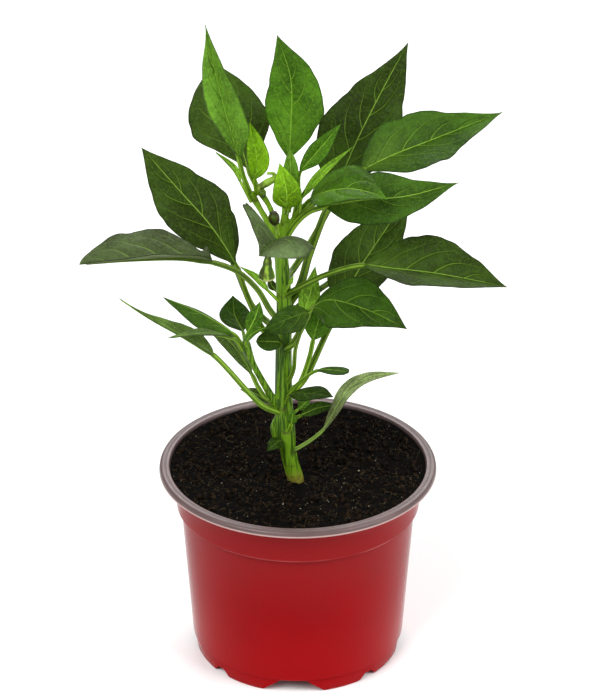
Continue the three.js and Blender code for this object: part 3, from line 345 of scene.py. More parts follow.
    plan("low_right", "deep", 0.9, [(-5, -7, 121), (1, -12, 128)], [(9, -12, 132), (18, -11, 133.4)], (0, -0.7, 0.7),
         half=3, lift=10, widest=0.45, wave=0.1),
    plan("low_right_back", "light", 0.7, [(-5.4, -7, 124), (0, -6, 128)], [(3, -6, 131), (6, -5, 134)],
         (0, -0.8, 0.6), half=2.6, lift=10, widest=0.45),
    plan("pale_curved", "pale", 0.9, [(-3.6, -8, 107), (1, -11, 111), (11, -14, 121)],
         [(17, -16, 133), (22, -18, 144), (31, -20, 152), (47, -24, 157)], [(-0.6, -0.7, 0.4), (-0.3, -0.7, 0.6)],
         half=3.4, lift=10, widest=0.45, wave=0.1),
    plan("soil_left", "shade", 0.7, [(-4, -7.6, 108), (-7, -12, 115)], [(-11, -18, 116), (-14, -22, 115)],
         (0, -0.6, 0.8), half=3.4, lift=10, widest=0.5),
    plan("dark_low_left", "dark", 0.7, [(-6, -6.6, 127), (-13, 2, 127)], [(-20, 6, 130), (-27, 10, 130)],
         (0, -0.6, 0.8), half=2.6, lift=10, widest=0.45),
    plan("shoot_low", "fresh", 1, [(-5, -7, 115), (-3, -14, 125)], [(-2.6, -15, 129), (-2, -16, 133)], (0, -0.9, 0.4),
         half=2.6, lift=15, widest=0.4),
    # The side that the picture doesn't show
    plan("rear_right_high", "dark", 1.4, [(-6.6, -2, 193), (-3, 8, 192), (4, 20, 198), (15, 40, 210), (19, 44, 217)],
         [(29, 58, 231), (42, 80, 254)], (-0.1, -0.6, 0.8), half=13, lift=15, widest=0.38, wave=0.6),
    plan("rear_left", "dark", 1.4, [(-6.6, -3, 168), (-14, 9, 166), (-21, 15, 171), (-25, 20, 178), (-30, 26, 188)],
         [(-46, 44, 204), (-61, 62, 211)], (0, -0.4, 0.9), half=13, lift=15, widest=0.38, wave=0.6),
    plan("rear_top", "middle", 1.1, [(-6, -1.8, 221), (-5.6, 8, 230), (-4, 18, 243), (-4, 24, 248)],
         [(-3, 38, 259), (-6, 54, 276)], (0, -0.6, 0.8), half=8.5, lift=15, widest=0.38, wave=0.4),
    plan("rear_right_low", "dark", 1.4, [(-6.3, -3.8, 169), (0, 8, 174), (15, 20, 181), (25, 28, 183)],
         [(46, 46, 179), (73, 66, 169)], [(0.2, 0, 1), (0.3, 0, 1)], half=12, lift=15, widest=0.38, wave=0.6),
]


def paint(code):
    """Linear red, green and blue of a colour written in the usual six digits."""
    parts = [int(code[i:i + 2], 16) / 255 for i in (0, 2, 4)]
    return tuple(p / 12.92 if p <= 0.04045 else ((p + 0.055) / 1.055) ** 2.4 for p in parts)


def colour_of(name, what, code):
    return FloatVectorProperty(name=name, description=f"Colour of {what}", default=paint(code), size=3, min=0, max=1,
                               subtype="COLOR")


def times(colour, factor):
    """The colour made darker or lighter."""
    return [min(1, c * factor) for c in colour]


def mixed(first, share, second, other):
    """A sum of two colours, each by its own share."""
    return [share * a + other * b for a, b in zip(first, second)]


# ---------------------------------------------------------------- shader maths
# Lengths in the looks are metres. A ramp's two numbers are where a change starts and where it is complete.


class Amount:
    """A number or colour that varies over a surface. Sums and products of numbers add Math nodes."""

    def __init__(self, look, socket):
        self.look = look
        self.socket = socket

    def maths(self, operation, first, second=0.0):
        return self.look.add("ShaderNodeMath", {"operation": operation}, {0: first, 1: second})

    def __add__(self, other):
        return self.maths("ADD", self, other)

    __radd__ = __add__

    def __sub__(self, other):
        return self.maths("SUBTRACT", self, other)

    def __rsub__(self, other):
        return self.maths("SUBTRACT", other, self)

    def __mul__(self, other):
        return self.maths("MULTIPLY", self, other)

    __rmul__ = __mul__

    def __truediv__(self, other):
        return self.maths("DIVIDE", self, other)

    def __abs__(self):
        return self.maths("ABSOLUTE", self)

    def ramp(self, start, end):
        """0 at start and 1 at end, smoothly; start may be the larger."""
        return self.look.add("ShaderNodeMapRange", {"interpolation_type": "SMOOTHSTEP"},
                             {"Value": self, "From Min": start, "From Max": end, "To Min": 0.0, "To Max": 1.0})


class Look:
    """A material while it is made."""

    def __init__(self, name):
        self.material = bpy.data.materials.new(name)
        self.material.use_nodes = True
        self.nodes = self.material.node_tree.nodes
        self.links = self.material.node_tree.links
        self.nodes.clear()

    def add(self, kind, settings=None, sockets=None, output=0):
        """Adds any node: its settings first, then its sockets' values or links. Returns one output."""
        node = self.nodes.new(kind)
        for key, value in (settings or {}).items():
            setattr(node, key, value)
        for key, value in (sockets or {}).items():
            if isinstance(value, Amount):
                self.links.new(value.socket, node.inputs[key])
            else:
                node.inputs[key].default_value = value
        return Amount(self, node.outputs[output])

    def place(self, scale=(1, 1, 1)):
        """Object coordinates, stretched."""
        spot = self.add("ShaderNodeTexCoord", output="Object")
        return self.add("ShaderNodeMapping", {}, {"Vector": spot, "Scale": scale})

    def height(self):
        return self.add("ShaderNodeSeparateXYZ", {}, {0: self.place()}, output=2)

    def cloud(self, scale, detail=3.0, where=None, roughness=0.5):
        return self.add("ShaderNodeTexNoise", {}, {"Vector": where or self.place(), "Scale": scale, "Detail": detail,
                                                   "Roughness": roughness})

    def cells(self, scale, feature="DISTANCE_TO_EDGE"):
        return self.add("ShaderNodeTexVoronoi", {"feature": feature}, {"Vector": self.place(), "Scale": scale},
                        "Distance")

    def reading(self, name):
        """A number kept with the piece's points."""
        return self.add("ShaderNodeAttribute", {"attribute_name": name}, {}, "Fac")

    def blend(self, share, first, second):
        """The first colour at share 0 and the second at share 1."""
        # The mix node's two colour inputs
        colours = {6: first, 7: second}
        for key, value in colours.items():
            if not isinstance(value, Amount):
                colours[key] = (*value[:3], 1)
        return self.add("ShaderNodeMix", {"data_type": "RGBA"}, {0: share, **colours}, 2)

    def layers(self, colour, *over):
        """A colour with others laid over it, each by its share."""
        for share, other in over:
            colour = self.blend(share, colour, other)
        return colour

    def relief(self, height, depth, strength=1.0):
        return self.add("ShaderNodeBump", {}, {"Strength": strength, "Distance": depth, "Height": height})

    def finish(self, **sockets):
        """Ends in a Principled shader; names use _ for a space."""
        names = {key.replace("_", " "): value for key, value in sockets.items()}
        shader = self.add("ShaderNodeBsdfPrincipled", {}, names)
        output = self.nodes.new("ShaderNodeOutputMaterial")
        self.links.new(shader.socket, output.inputs["Surface"])
        return self.material


def red_plastic(colour):
    look = Look("red_plastic")
    haze = look.cloud(34, 2.0)
    height = look.height()
    # Painted light: the upper body is painted greyer, as sheen, and the lower body a clearer red, a gradient by height
    painted_light_height = height + haze * 0.02
    painted_sheen_grey = [colour[0] * 0.82, 0.012, 0.013]
    painted_clear_red = [colour[0] * 1.3, 0, colour[2]]
    # Painted highlight: a light line along the collar's step, broken up by a cloud
    painted_highlight = abs(height + haze * 0.0002 - COLLAR_LINE * MM).ramp(0.0005, 0.0001)
    body = look.layers(
        colour,
        (haze.ramp(0.35, 0.7) * 0.3, times(colour, 0.8)),
        (painted_light_height.ramp(0.05, 0.085) * 0.5, painted_sheen_grey),
        (painted_light_height.ramp(0.06, 0.02) * 0.6, painted_clear_red),
        (painted_highlight * look.cloud(28, 2.0).ramp(0.35, 0.65) * 0.3, COLLAR_HIGHLIGHT),
    )
    grain = look.cloud(900, 2.0)
    waves = look.cloud(22, 1.0, look.place((1, 1, 0.5)))
    return look.finish(Base_Color=body, Roughness=look.cloud(60, 3.0) * 0.08 + 0.13, Specular_IOR_Level=0.07,
                       Normal=look.relief(grain * 0.02 + waves, 0.0006, 0.5))


def lip_plastic(colour):
    look = Look("lip_plastic")
    haze = look.cloud(70, 4.0)
    around = look.add("ShaderNodeVectorMath", {"operation": "MULTIPLY"}, {0: look.place(), 1: (1, 1, 0)})
    away = look.add("ShaderNodeVectorMath", {"operation": "LENGTH"}, {0: around}, "Value")
    groove = abs(away - LIP_GROOVE * MM).ramp(0.0005, 0.0001)
    # Painted shade: the inner wall just below the lip is darkened nearly to black, where the pot's inside lies in
    # shadow
    painted_inner_shade = (look.height() + haze * 0.001).ramp(0.0968, 0.0957) * away.ramp(0.0606, 0.0601)
    body = look.layers(
        colour,
        (haze.ramp(0.3, 0.7), times(colour, 1.3)),
        # Painted shade: the lip is darkened along the crease of its groove and over its outer roll, where it turns
        # down
        (groove * 0.45, times(colour, 0.5)),
        (away.ramp(0.0624, 0.0632) * 0.35, times(colour, 0.6)),
        (painted_inner_shade * 0.9, times(colour, 0.16)),
    )
    scuff = look.cloud(260, 3.0)
    return look.finish(Base_Color=body, Roughness=scuff * 0.2 + 0.24, Specular_IOR_Level=0.35,
                       Normal=look.relief(scuff * 0.5 - groove, 0.0003, 0.6))


def cut_edge_plastic(colour):
    look = Look("cut_edge_plastic")
    return look.finish(Base_Color=look.blend(look.cloud(300), colour, times(colour, 0.7)), Roughness=0.4)


def soil_look(dark, light):
    look = Look("potting_soil")
    fibre = look.cloud(190, 8.0, look.place((1, 1, 0.6)), 0.72)
    specks = look.cells(560, "F1")
    patch = look.cloud(45, 3.0)
    ground = look.layers(
        dark,
        (fibre.ramp(0.5, 0.8) * patch.ramp(0.4, 0.7), light),
        ((1 - specks.ramp(0.05, 0.16)) * patch.ramp(0.55, 0.7), times(light, 3)),
    )
    return look.finish(Base_Color=ground, Roughness=0.95, Specular_IOR_Level=0.05,
                       Normal=look.relief(fibre + look.cloud(700, 4.0) * 0.4, 0.0022, 1.0))


def crumb_look(name, dark, light):
    look = Look(name)
    patch = look.cloud(420, 4.0)
    return look.finish(Base_Color=look.blend(patch.ramp(0.3, 0.75), dark, light), Roughness=0.95,
                       Specular_IOR_Level=0.05, Normal=look.relief(patch, 0.0006, 0.8))


def stem_look(name, dark, light, tip, foot):
    """Green with lengthwise stripes and darker nodes, and a browner foot where it stands in the soil."""
    look = Look(name)
    stripes = look.cloud(760, 3.0, look.place((1, 1, 0.03)))
    fine = look.cloud(2200, 2.0, look.place((1, 1, 0.03)))
    blotch = look.cloud(70, 3.0)
    scar = look.cloud(330, 3.0)
    height = look.height()
    uneven = height + (scar - 0.5) * 0.005
    nodes = sum(abs(uneven - node * MM).ramp(0.0016, 0.0004) for node in STEM_NODES)
    green = look.layers(
        dark,
        ((stripes * 0.65 + fine * 0.35).ramp(0.43, 0.56), light),
        (blotch.ramp(0.55, 0.8) * 0.35, dark),
        ((height + blotch * 0.01).ramp(0.205, 0.22) * 0.55, tip),
        (nodes * scar.ramp(0.48, 0.62) * 0.65, SCAR_BROWN),
        ((height + blotch * 0.008).ramp(0.108, 0.102) * 0.55, light),
        ((height + scar * 0.016).ramp(0.109, 0.099) * scar.ramp(0.3, 0.55) * 0.95, foot),
        ((height + scar * 0.01).ramp(0.1015, 0.0975) * 0.9, times(foot, 0.4)),
    )
    return look.finish(Base_Color=green, Roughness=0.42, Specular_IOR_Level=0.16,
                       Normal=look.relief(stripes + fine * 0.4, 0.0004, 0.6))


def stalk_look(name, dark, light):
    """Lighter along its four edges, with a dark groove between them."""
    look = Look(name)
    patch = look.cloud(260, 3.0)
    streak = (look.reading("streak") + (patch - 0.5) * 0.9).ramp(0.3, 0.75)
    return look.finish(Base_Color=look.blend(streak, dark, light), Roughness=0.42, Specular_IOR_Level=0.14,
                       Normal=look.relief(patch, 0.0002, 0.5))


def bud_look(name, start, stalk, dark, light, rim):
    """A light stalk up to start, a ribbed cup with dark spots, and a rim where the petals will come out."""
    look = Look(name)
    patch = look.cloud(420, 3.0)
    along = look.reading("along")
    cup = look.layers(
        dark,
        ((look.reading("streak") + (patch - 0.5)).ramp(0.35, 0.8), light),
        (look.cloud(240, 3.0).ramp(0.5, 0.62) * 0.7, BUD_SPOTS),
    )
    whole = look.blend(along.ramp(start - 0.04, start + 0.04), stalk, cup)
    rimmed = look.blend((along + (patch - 0.5) * 0.05).ramp(0.935, 0.96), whole, rim)
    return look.finish(Base_Color=rimmed, Roughness=0.5, Specular_IOR_Level=0.2,
                       Normal=look.relief(patch, 0.0004, 0.6))


def leaf_look(name, body, deep, vein, rib, glow, underside=False):
    """A leaf's skin: lateral veins that lean to the tip, a fine net between them, and mottled fields.

    glow is how much of the veins' colour the blade takes on near its base.
    """
    look = Look(name)
    across = look.reading("across")
    along = look.reading("along")
    share = abs(across)
    wander = look.cloud(60, 2.0) - 0.5
    turns = look.reading("turns") + across.ramp(-0.0001, 0.0001) * VEIN_SHIFT + wander * 0.3
    nearest = abs(look.add("ShaderNodeMath", {"operation": "FRACT"}, {0: turns}) - 0.5)
    fade = share.ramp(0.95, 0.3) * along.ramp(0.97, 0.75) * along.ramp(0.0, 0.04)
    line = nearest.ramp(0.036, 0.012) * fade
    middle = (look.reading("reach") / (0.00042 - along * 0.00024)).ramp(1.0, 0.5) * along.ramp(0.99, 0.8)
    net = look.cells(300).ramp(0.09, 0.0)
    spread = look.cloud(45, 3.0)
    mottle = look.cloud(260, 4.0, roughness=0.65)
    grain = look.cloud(850, 2.0, roughness=0.6)
    skin = look.layers(
        times(body, 1.3),
        (spread.ramp(0.32, 0.68), deep),
        (mottle.ramp(0.4, 0.68) * 0.6, deep),
        (grain.ramp(0.45, 0.68) * 0.45, times(body, 1.7)),
        (along.ramp(0.45, 0.0) * share.ramp(1.0, 0.1) * glow, vein),
        (share.ramp(0.92, 1.0) * along.ramp(0.02, 0.1) * 0.7, times(deep, 0.35)),
        (net * 0.08, vein),
        (line * 0.8, vein),
        (middle * 0.9, rib),
    )
    lift = 1 if underside else -1
    heights = nearest.ramp(0.0, 0.2) * fade * (1 - lift) * 0.14 + line * lift * 0.12 + net * -0.1 + spread * 0.9
    heights = heights + mottle * 0.6 + grain * 0.14
    return look.finish(Base_Color=skin, Roughness=look.cloud(150, 2.0) * 0.14 + (0.5 if underside else 0.38),
                       Specular_IOR_Level=0.07 if underside else 0.09,
                       Normal=look.relief(heights, 0.0015, 0.9))


# ---------------------------------------------------------------- modelling helps


def deselect():
    if bpy.context.object and bpy.context.object.mode != "OBJECT":
        bpy.ops.object.mode_set(mode="OBJECT")
    bpy.ops.object.select_all(action="DESELECT")


def only(piece):
    deselect()
    piece.select_set(True)
    bpy.context.view_layer.objects.active = piece


def edit():
    bpy.ops.object.mode_set(mode="EDIT")
    bpy.ops.mesh.select_all(action="SELECT")


def leave():
    bpy.ops.object.mode_set(mode="OBJECT")


def face_outwards():
    edit()
    bpy.ops.mesh.normals_make_consistent(inside=False)
    leave()


def modify(piece, kind, **settings):
    """Adds a modifier and applies it."""
    only(piece)
    modifier = piece.modifiers.new(kind.lower(), kind)
    for key, value in settings.items():
        setattr(modifier, key, value)
    bpy.ops.object.modifier_apply(modifier=modifier.name)


def named(piece, name):
    piece.name = name
    piece.data.name = name
    return piece


def woven(name, columns, rows, put, merge=1e-6):
    """A grid whose points are put in place by their shares across and along, with doubled points merged."""
    deselect()
    bpy.ops.mesh.primitive_grid_add(x_subdivisions=columns, y_subdivisions=rows, size=2)
    piece = named(bpy.context.object, name)
    points = np.empty(len(piece.data.vertices) * 3)
    piece.data.vertices.foreach_get("co", points)
    points = points.reshape(-1, 3)
    across = np.round((points[:, 0] + 1) / 2 * columns).astype(int)
    along = np.round((points[:, 1] + 1) / 2 * rows).astype(int)
    readings = put(across, along)
    piece.data.vertices.foreach_set("co", readings.pop("place").ravel() * MM)
    for key, values in readings.items():
        reading = piece.data.attributes.new(key, "FLOAT", "POINT")
        reading.data.foreach_set("value", values.astype(np.float32))
    piece.data.update()
    edit()
    bpy.ops.mesh.remove_doubles(threshold=merge)
    leave()
    return piece


def unit(vectors):
    return vectors / np.maximum(np.linalg.norm(vectors, axis=-1, keepdims=True), 1e-12)


class Way:
    """A smooth line through points: a centripetal curve, measured along its length."""

    STEPS = 200

    def __init__(self, points):
        self.points = np.array(points, float)[:, :3]
        self.count = len(self.points)
        self.turns = np.linspace(0, 1, self.STEPS + 1)
        samples = self.at_turn(self.turns)
        steps = np.linalg.norm(np.diff(samples, axis=0), axis=1)
        self.lengths = np.concatenate([[0], np.cumsum(steps)])
        self.length = self.lengths[-1]

    def share_of_point(self, index):
        """The share of the length that lies before a point."""
        return self.lengths[round(self.STEPS * index / (self.count - 1))] / self.length

    def at_turn(self, turn):
        p, last = self.points, self.count - 1
        spot = np.clip(np.asarray(turn, float), 0, 1) * last
        first = np.minimum(spot.astype(int), last - 1)
        share = (spot - first)[:, None]
        padded = np.vstack([2 * p[0] - p[1], p, 2 * p[-1] - p[-2]])
        a, b, c, d = (padded[first + i] for i in range(4))
        before, here, after = ((((y - x) ** 2).sum(1) ** 0.25)[:, None] for x, y in ((a, b), (b, c), (c, d)))
        leaving = ((b - a) / before - (c - a) / (before + here) + (c - b) / here) * here
        coming = ((c - b) / here - (d - b) / (here + after) + (d - c) / after) * here
        return (b + leaving * share + (3 * (c - b) - 2 * leaving - coming) * share ** 2
                + (2 * (b - c) + leaving + coming) * share ** 3)

    def turn(self, share):
        return np.interp(np.asarray(share, float) * self.length, self.lengths, self.turns)

    def at(self, share):
        return self.at_turn(self.turn(share))

    def ahead(self, share):
        turn = self.turn(share)
        return unit(self.at_turn(turn + 1e-4) - self.at_turn(turn - 1e-4))


def tube(name, centres, radii, side, up, sides, groove=0.0, ridges=0.0):
    """A closed limb over rings. groove flattens its upper side, ridges raises five ribs along it."""
    rows = len(centres) - 1
    centres, radii = np.asarray(centres), np.asarray(radii)

    def put(across, along):
        angle = 2 * np.pi * across / sides
        ring = np.clip(along - 1, 0, rows)
        radius = radii[ring] * (1 - groove * np.clip(np.sin(angle), 0, 1) ** 4 + ridges * np.cos(5 * angle))
        radius = np.where((along == 0) | (along == rows + 2), 0, radius)
        out = side[ring] * np.cos(angle)[:, None] + up[ring] * np.sin(angle)[:, None]
        return {"place": centres[ring] + out * radius[:, None], "along": ring / rows,
                "streak": 0.5 - 0.5 * np.cos(4 * angle)}

    piece = woven(name, sides, rows + 2, put)
    face_outwards()
    return piece


def limb(name, line, sides, step=1.2, ridges=0.0):
    """A tapering limb along x, y, z, radius points."""
    way = Way(line)
    rows = max(6, int(way.length / step))
    shares = np.linspace(0, 1, rows + 1)
    radii = np.interp(way.turn(shares) * (way.count - 1), np.arange(way.count), [p[3] for p in line])
    ahead = way.ahead(shares)
    up = np.zeros_like(ahead)
    # The rings turn as little as possible from one to the next
    last = np.array([0.0, 1.0, 0.1])
    for i, direction in enumerate(ahead):
        last = unit(last - direction * (last @ direction))
        up[i] = last
    return tube(name, way.at(shares), radii, np.cross(ahead, up), up, sides, ridges=ridges)


def join(name, pieces):
    deselect()
    for piece in pieces:
        piece.select_set(True)
    bpy.context.view_layer.objects.active = pieces[0]
    bpy.ops.object.join()
    return named(pieces[0], name)


def smooth(piece, degrees=40):
    only(piece)
    bpy.ops.object.shade_smooth_by_angle(angle=math.radians(degrees))


def give(piece, *looks):
    piece.data.materials.clear()
    for look in looks:
        piece.data.materials.append(look)


def settle(piece, slot, *nodes):
    """The finished piece rides with the object and stands for its CAD nodes."""
    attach(piece, "root")
    if nodes:
        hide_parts(*nodes)


def hill(spot, scale, seed):
    return noise.noise(Vector((spot[0] * scale + seed, spot[1] * scale - seed, seed * 0.7)))


# ---------------------------------------------------------------- the pieces


def spun_ring(rings):
    """A ring of points extruded from one radius and height to the next, closed at both ends."""
    deselect()
    radius, height = rings[0]
    bpy.ops.mesh.primitive_circle_add(vertices=POT_SIDES, radius=radius * MM, location=(0, 0, height * MM))
    edit()
    bpy.ops.mesh.edge_face_add()
    bpy.ops.mesh.select_all(action="SELECT")
    bpy.ops.mesh.select_mode(type="EDGE")
    bpy.ops.mesh.delete(type="ONLY_FACE")
    bpy.ops.mesh.select_all(action="SELECT")
    for (before, low), (after, high) in zip(rings, rings[1:]):
        bpy.ops.mesh.extrude_region_move(TRANSFORM_OT_translate={"value": (0, 0, (high - low) * MM)})
        bpy.ops.transform.resize(value=(after / before, after / before, 1), center_override=(0, 0, high * MM))
    bpy.ops.mesh.edge_face_add()
    bpy.ops.mesh.select_all(action="SELECT")
    bpy.ops.mesh.fill_holes(sides=0)
    bpy.ops.mesh.select_all(action="SELECT")
    bpy.ops.mesh.normals_make_consistent(inside=False)
    bpy.ops.mesh.select_mode(type="VERT")
    leave()
    bpy.ops.object.transform_apply(location=True, rotation=True, scale=True)
    return bpy.context.object


def notch_cutter(low, high, height, turn):
    """A bar across the foot's edge, wide at the floor and narrow above."""
    deselect()
    bpy.ops.mesh.primitive_cube_add(size=1, location=(0, 0, 0))
    bar = bpy.context.object
    spread = (low - high) / 2 / height
    radial = np.array([math.sin(turn), -math.cos(turn), 0])
    tangent = np.array([math.cos(turn), math.sin(turn), 0])
    for corner in bar.data.vertices:
        top = corner.co.z > 0
        width = high if top else low + 2 * spread
        reach = NOTCH_REACH[1 if corner.co.y > 0 else 0]
        point = radial * reach + tangent * width * (0.5 if corner.co.x > 0 else -0.5)
        corner.co = Vector(point * MM) + Vector((0, 0, (height if top else -1) * MM))
    only(bar)
    face_outwards()
    modify(bar, "BEVEL", width=NOTCH_ROUNDING * MM, segments=2, limit_method="NONE")
    return bar


def drain_cutter(turn):
    deselect()
    place = (DRAIN_CIRCLE * MM * math.sin(turn), -DRAIN_CIRCLE * MM * math.cos(turn), DRAIN_DEPTH / 2 * MM)
    bpy.ops.mesh.primitive_cylinder_add(vertices=DRAIN_SIDES, radius=DRAIN_RADIUS * MM, depth=DRAIN_DEPTH * MM,
                                        location=place)
    bpy.ops.object.transform_apply(location=True, rotation=True, scale=True)
    return bpy.context.object


def build_pot(settings):
    pot = named(spun_ring(POT_OUTSIDE + POT_INSIDE), "nursery_pot")
    cutters = []
    for i in range(NOTCHES):
        turn = math.radians(NOTCH_TURN + 360 * i / NOTCHES)
        between = turn + math.pi / NOTCHES
        cutters += [notch_cutter(*WIDE_NOTCH, turn), notch_cutter(*NARROW_NOTCH, between)]
        cutters += [drain_cutter(turn), drain_cutter(between)]
    cutter = join("cutter", cutters)
    modify(pot, "BOOLEAN", operation="DIFFERENCE", object=cutter, solver="EXACT")
    bpy.data.objects.remove(cutter)
    give(pot, red_plastic(settings.red), lip_plastic(settings.lip), cut_edge_plastic(settings.cut_edge))
    outside, inside, cut_edge = range(3)
    for face in pot.data.polygons:
        centre, normal = face.center, face.normal
        outward = (normal.x * centre.x + normal.y * centre.y) / max(centre.xy.length, 1e-6)
        height, away = centre.z / MM, centre.xy.length / MM
        if height > LIP_BOTTOM:
            trim = height < CUT_EDGE_TOP and away > CUT_EDGE_RADIUS
            lip = away < LIP_INNER or height > LIP_CREST or outward > 0
            face.material_index = cut_edge if trim else inside if lip else outside
        else:
            face.material_index = outside if outward - OUTSIDE_SLOPE * normal.z > 0 else inside
    smooth(pot, 32)
    settle(pot, "pot_plastic", "pot")


def soil_height(x, y):
    """Millimetres above the ground of the soil's surface, without its crumbs."""
    away = min(1, math.hypot(x, y) / CRUMB_CIRCLE)
    lumps = sum(size * hill((x, y), scale, seed) for size, scale, seed in SOIL_LUMPS)
    return SOIL_MIDDLE + SOIL_EDGE_RISE * away ** 3 + lumps * (1 - 0.7 * away ** 6)


def build_soil(settings):
    sides = len(SOIL_SIDE)

    def put(across, along):
        angle = 2 * np.pi * across / SOIL_COLUMNS
        place = np.zeros((len(across), 3))
        for i, (turn, row) in enumerate(zip(angle, along)):
            top = row >= sides
            radius = SOIL_TOP_RADIUS * (1 - (row - sides) / SOIL_ROWS) if top else SOIL_SIDE[row][0]
            x, y = radius * math.cos(turn), radius * math.sin(turn)
            place[i] = (x, y, soil_height(x, y) if top else SOIL_SIDE[row][1])
        return {"place": place}

    bed = woven("soil_bed", SOIL_COLUMNS, sides + SOIL_ROWS, put, 2e-6)
    face_outwards()
    smooth(bed, 80)
    give(bed, soil_look(settings.dark, settings.light))
    crumbs = scatter_crumbs(settings)
    for piece in (bed, *crumbs):
        settle(piece, "potting_soil")
    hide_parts("soil")


def seed_shape(kind):
    """The points and faces of one crumb or one fibre, about 1 mm across."""
    deselect()
    if kind == "crumb":
        bpy.ops.mesh.primitive_ico_sphere_add(subdivisions=1, radius=0.5)
    else:
        bpy.ops.mesh.primitive_cylinder_add(vertices=4, radius=0.5, depth=1)
        edit()
        bpy.ops.mesh.subdivide(number_cuts=1)
        leave()
    shape = bpy.context.object
    points = np.array([v.co for v in shape.data.vertices])
    faces = [tuple(f.vertices) for f in shape.data.polygons]
    bpy.data.objects.remove(shape)
    return points, faces


def about(axis, turn):
    """A turn about an axis, as a matrix."""
    first, second = (axis + 1) % 3, (axis + 2) % 3
    matrix = np.eye(3)
    matrix[first, first] = matrix[second, second] = math.cos(turn)
    matrix[first, second], matrix[second, first] = -math.sin(turn), math.sin(turn)
    return matrix


def turned(draw):
    """A random turn, as a matrix."""
    a, b, c = (draw.uniform(0, 2 * math.pi) for _ in range(3))
    return about(Z, a) @ about(X, b) @ about(Z, c)


def scatter(name, kind, count, sizes, seed, look):
    """Many crumbs or fibres on the soil, drawn with a fixed seed."""
    draw = random.Random(seed)
    points, faces = seed_shape(kind)
    places, shells = [], []
    while len(places) < count:
        angle, radius = draw.uniform(0, 2 * math.pi), CRUMB_CIRCLE * math.sqrt(draw.random())
        x, y = radius * math.cos(angle), radius * math.sin(angle)
        size = draw.uniform(*sizes) * draw.uniform(*SIZE_SPREAD)
        if math.dist((x, y), STEM_FOOT) < STEM_FOOT_CLEAR:
            continue
        if kind == "crumb":
            stretch = [size * draw.uniform(*CRUMB_STRETCH) for _ in range(3)]
            rough = points * (1 + CRUMB_ROUGHNESS * np.array([[draw.uniform(-1, 1)] for _ in points]))
            shape = (rough * stretch) @ turned(draw).T
            height = soil_height(x, y) + size * draw.uniform(*CRUMB_LIFT)
        else:
            thin = draw.uniform(*FIBRE_THICKNESS)
            shape = points * (thin, thin, size)
            bend = draw.uniform(*FIBRE_BEND) * size
            shape[:, 0] += bend * (1 - (2 * points[:, 2]) ** 2)
            tilt, way = draw.uniform(*FIBRE_TILT), draw.uniform(0, 2 * math.pi)
            shape = shape @ about(Y, tilt).T @ about(Z, way).T
            height = soil_height(x, y) + draw.uniform(*FIBRE_LIFT)
        placed = shape + (x, y, height)
        if np.hypot(placed[:, 0], placed[:, 1]).max() > CRUMB_REACH or placed[:, 2].max() > CRUMB_TOP:
            continue
        places.append(placed)
        shells.append([tuple(v + (len(places) - 1) * len(points) for v in face) for face in faces])
    mesh = bpy.data.meshes.new(name)
    mesh.from_pydata((np.vstack(places) * MM).tolist(), [], [face for shell in shells for face in shell])
    piece = bpy.data.objects.new(name, mesh)
    bpy.context.collection.objects.link(piece)
    give(piece, look)
    smooth(piece, 60)
    return piece


def scatter_crumbs(settings):
    dark = crumb_look("crumb_dark", times(settings.dark, 0.6), settings.light)
    brown = crumb_look("crumb_brown", settings.dark, times(settings.light, 1.9))
    fibre = crumb_look("fibre_brown", settings.light, settings.fibre)
    stone = crumb_look("grit_pale", settings.fibre, settings.grit)
    return [
        scatter("soil_crumbs", "crumb", settings.crumbs * 2 // 3, (1, 3.4), 11, dark),
        scatter("soil_crumbs_small", "crumb", settings.crumbs, (0.5, 1.5), 12, brown),
        scatter("soil_fibres", "fibre", settings.fibres, (2, 6), 13, fibre),
        scatter("soil_grit", "crumb", settings.grits, (0.35, 0.9), 14, stone),
    ]


def build_stem(settings):
    limbs = [limb("stem_limb", STEM, STEM_SIDES, ridges=STEM_RIDGES)]
    limbs += [limb(f"twig_limb_{i}", twig, TWIG_SIDES, TWIG_STEP, STEM_RIDGES) for i, twig in enumerate(TWIGS)]
    stem = join("green_stem_full", limbs)
    modify(stem, "REMESH", mode="VOXEL", voxel_size=STEM_GRAIN * MM)
    modify(stem, "SMOOTH", factor=0.5, iterations=4)
    smooth(stem, 80)
    give(stem, stem_look("stem_green", settings.dark, settings.light, settings.tip, settings.foot))
    settle(stem, "green_stem", "stem")


def side_of(value, right):
    """The left or the right value of a pair at each point, or the one value that serves both sides."""
    if isinstance(value, tuple):
        return np.where(right, float(value[1]), float(value[0]))
    return np.full(len(right), float(value))


def blade_outline(along, leaf, right):
    """The half-width at a share of the blade's length, as a share of its widest."""
    widest = side_of(leaf["widest"], right)
    base = side_of(leaf.get("base", BASE_SHAPE), right)
    point = side_of(leaf.get("point", POINT_SHAPE), right)
    opening = np.sin(np.pi / 2 * np.minimum(along / widest, 1)) ** base
    closing = np.maximum(0, np.sin(np.pi / 2 * np.minimum((1 - along) / (1 - widest), 1))) ** point
    return np.where(along < widest, opening, closing)


def leaf_axes(way, share, along, leaf):
    """The way to the right and the way up at places along a leaf."""
    base, tip = (np.array(face, float) for face in leaf["faces"])
    facing = base + (tip - base) * along[:, None]
    ahead = way.ahead(share)
    side = unit(np.cross(ahead, facing))
    return side, unit(np.cross(side, ahead))


def edge_drift(leaf, along, right, length):
    """How far a blade's edge strays from its plain outline, as a share of its half-width."""
    draw = random.Random(leaf["name"])
    drift = np.zeros(len(along))
    for wave, size in EDGE_WAVES:
        left_turn, right_turn = draw.random(), draw.random()
        drift += size * np.sin(2 * np.pi * (along * length / wave + np.where(right, right_turn, left_turn)))
    for side, place, spread, size in leaf.get("bumps", []):
        drift += np.where(right == (side > 0), size * np.exp(-((along - place) / spread) ** 2), 0)
    return drift


